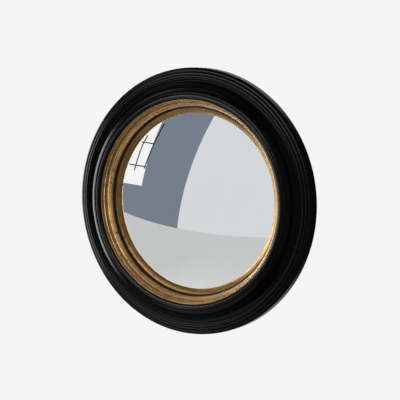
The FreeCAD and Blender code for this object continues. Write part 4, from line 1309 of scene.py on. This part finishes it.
class MIRROR_OT_studio(bpy.types.Operator):
    """Set up the camera, the lamps, the pale floor and the surroundings"""

    bl_idname = "mirror.studio"
    bl_label = "Studio"

    def execute(self, context):
        studio = context.scene.mirror_studio
        context.scene.cycles.transparent_max_bounces = CLEAR_SURFACES
        self.add_camera(context, studio)
        self.add_world(context, studio)
        self.add_floor(studio)
        self.add_tent()
        add_lamp("window_light", -75.0, 12.0, 2.0, studio.window_light)
        add_lamp("top_light", -20.0, 62.0, 1.6, studio.top_light)
        self.add_room(studio)
        return {"FINISHED"}

    @staticmethod
    def add_room(studio):
        """Two walls, a window with glazing bars and a ceiling, as flat boards."""
        left, right = (ROOM_LEFT, ROOM_LEFT), (ROOM_RIGHT, ROOM_RIGHT)
        add_board("grey_wall", upright(left, ROOM_CORNER, ROOM_FLOOR, ROOM_CEILING, ROOM_FRONT),
                  studio.grey_wall)
        add_board("pale_wall", upright(ROOM_CORNER, right, ROOM_FLOOR, ROOM_CEILING, ROOM_FRONT),
                  studio.pale_wall)
        add_board("window", upright(left, WINDOW_SIDE, WINDOW_SILL, ROOM_CEILING, WINDOW_FRONT),
                  studio.window)
        for width, thickness, middle in WINDOW_BARS:
            low, high = ([(x + side * width, BARS_FRONT, z + side * thickness) for x, z in middle]
                         for side in (-0.5, 0.5))
            add_board("window_bar", low + high[::-1], studio.window_bars)
        outline = ((ROOM_LEFT, ROOM_FRONT), (ROOM_RIGHT, ROOM_FRONT),
                   (ROOM_RIGHT, ROOM_REAR), (ROOM_LEFT, ROOM_REAR))
        add_board("ceiling", [(x, y, ROOM_CEILING) for x, y in outline], studio.ceiling)

    @staticmethod
    def add_camera(context, studio):
        """The sensor's width shows the photo's width, so the lens is sensor width x distance x
        scale / photo width. The camera stands off the mirror's axis by the offsets."""
        data = bpy.data.cameras.new("camera")
        camera = bpy.data.objects.new("camera", data)
        context.scene.collection.objects.link(camera)
        context.scene.camera = camera
        pixel = MM / studio.scale
        data.lens = data.sensor_width * studio.distance / pixel / studio.photo_width
        data.clip_end = 100.0
        towards = look_from(studio.azimuth, studio.elevation)
        turn = towards.to_track_quat("Z", "Y")
        right, up = turn @ Vector((1, 0, 0)), turn @ Vector((0, 1, 0))
        rim_rear = Vector((0.0, -context.scene.mirror_mouldings.rim_lift, 0.0))
        camera.location = (rim_rear + towards * studio.distance
                           - right * studio.offset_right * pixel + up * studio.offset_down * pixel)
        camera.rotation_euler = turn.to_euler()

    @staticmethod
    def add_world(context, studio):
        """Pale surroundings for the camera, for reflections and through glass, and a gentler even
        light on everything else."""
        world = bpy.data.worlds.new("studio")
        context.scene.world = world
        world.use_nodes = True
        world.cycles.sampling_method = "NONE"
        tree = world.node_tree
        tree.nodes.clear()
        path = add_node(tree, "ShaderNodeLightPath").outputs
        seen = maths(tree, "ADD", path["Is Camera Ray"],
                     maths(tree, "ADD", path["Is Glossy Ray"], path["Is Transmission Ray"]), clamp=True)
        even, pale = (
            add_node(tree, "ShaderNodeBackground", {"Color": (*tone, 1.0), "Strength": amount})
            for tone, amount in (((1.0, 1.0, 1.0), studio.ambient), (studio.backdrop, 1.0)))
        mixed = add_node(tree, "ShaderNodeMixShader", {0: seen, 1: even.outputs[0], 2: pale.outputs[0]})
        output = add_node(tree, "ShaderNodeOutputWorld")
        tree.links.new(mixed.outputs[0], output.inputs["Surface"])

    @staticmethod
    def add_tent():
        """Sphere about the mirror, on a grid of 3 degrees of azimuth and elevation."""
        azimuth, elevation = np.arange(-180.0, 180.0, 3.0), np.linspace(-90.0, 90.0, 61)
        across, up = np.meshgrid(azimuth, elevation)
        turn, lift = np.radians(across), np.radians(up)
        points = TENT_RADIUS * np.stack(
            [np.sin(turn) * np.cos(lift), -np.cos(turn) * np.cos(lift), np.sin(lift)], axis=2)
        tent = make_piece("light_tent", points.reshape(-1, 3),
                          [grid_faces(len(elevation), len(azimuth), wrap_columns=True)])
        set_attribute(tent, "radiance", tent_radiance(across, up))
        tent.data.materials.append(tent_material())
        show_only_to_reflections(tent)

    @staticmethod
    def add_floor(studio):
        """Pale round floor under the mirror, which passes into the pale surroundings between
        near and far from the middle, and which the glass mirrors a little brighter."""
        near, far, brighter = 1.8, 4.5, 0.4
        points = [(FLOOR_RADIUS * math.cos(turn), FLOOR_RADIUS * math.sin(turn), ROOM_FLOOR)
                  for turn in even_angles(96)]
        floor = bpy.data.objects.new("floor", bpy.data.meshes.new("floor"))
        floor.data.from_pydata(points, [], [tuple(range(len(points)))])
        bpy.context.scene.collection.objects.link(floor)
        material, tree, shader = surface_material("pale_floor")
        grain = noise(tree, object_place(tree), 30.0, detail=4.0)
        base = mix_colour(tree, grain, (0.78, 0.78, 0.78), (0.82, 0.82, 0.82))
        give(tree, shader, Base_Color=base, Roughness=0.9, Specular_IOR_Level=0.1)
        light = add_node(tree, "ShaderNodeEmission", {"Color": (*studio.backdrop, 1.0)})
        place = add_node(tree, "ShaderNodeVectorMath", {0: object_place(tree)}, operation="LENGTH")
        away = ramp(tree, place.outputs["Value"], near, far)
        path = add_node(tree, "ShaderNodeLightPath").outputs
        factor = maths(tree, "MAXIMUM", maths(tree, "MULTIPLY", away, path["Is Camera Ray"]),
                       maths(tree, "MULTIPLY", path["Is Singular Ray"], brighter))
        swap_surface(tree, factor, shader, light)
        floor.data.materials.append(material)


# ------------------------------------------------------------------ panel and registration


PIECE_OPERATORS = (
    MIRROR_OT_base_moulding, MIRROR_OT_crest_moulding, MIRROR_OT_gilt_moulding, MIRROR_OT_sight_ring,
    MIRROR_OT_glass, MIRROR_OT_backing, MIRROR_OT_screws, MIRROR_OT_turn_buttons, MIRROR_OT_hanger,
    MIRROR_OT_studio,
)


class MIRROR_PT_panel(bpy.types.Panel):
    """Lists the mirror's pieces and their sizes"""

    bl_label = "Convex Mirror"
    bl_idname = "MIRROR_PT_panel"
    bl_space_type = "VIEW_3D"
    bl_region_type = "UI"
    bl_category = "Convex Mirror"

    def draw(self, context):
        for operator in PIECE_OPERATORS:
            self.layout.operator(operator.bl_idname)
        for group in (getattr(context.scene, name) for name in PROPERTY_GROUPS):
            box = self.layout.box()
            for key in group.bl_rna.properties.keys():
                if key not in ("rna_type", "name"):
                    box.prop(group, key)


PROPERTY_GROUPS = {
    "mirror_mouldings": MouldingSizes,
    "mirror_back": BackSizes,
    "mirror_fittings": FittingSizes,
    "mirror_finishes": Finishes,
    "mirror_studio": Studio,
}
CLASSES = (*PROPERTY_GROUPS.values(), *PIECE_OPERATORS, MIRROR_PT_panel)


def register():
    for kind in CLASSES:
        bpy.utils.register_class(kind)
    for name, kind in PROPERTY_GROUPS.items():
        setattr(bpy.types.Scene, name, PointerProperty(type=kind))


def unregister():
    for name in PROPERTY_GROUPS:
        delattr(bpy.types.Scene, name)
    for kind in reversed(CLASSES):
        bpy.utils.unregister_class(kind)


def run(operator):
    """Call an operator, and stop if it couldn't finish."""
    family, name = operator.bl_idname.split(".")
    if getattr(getattr(bpy.ops, family), name)() != {"FINISHED"}:
        raise RuntimeError(f"{operator.bl_label} could not be made")


def main():
    register()
    bpy.context.scene.view_settings.view_transform = "Standard"
    for operator in PIECE_OPERATORS:
        run(operator)


if __name__ == "__main__":
    main()
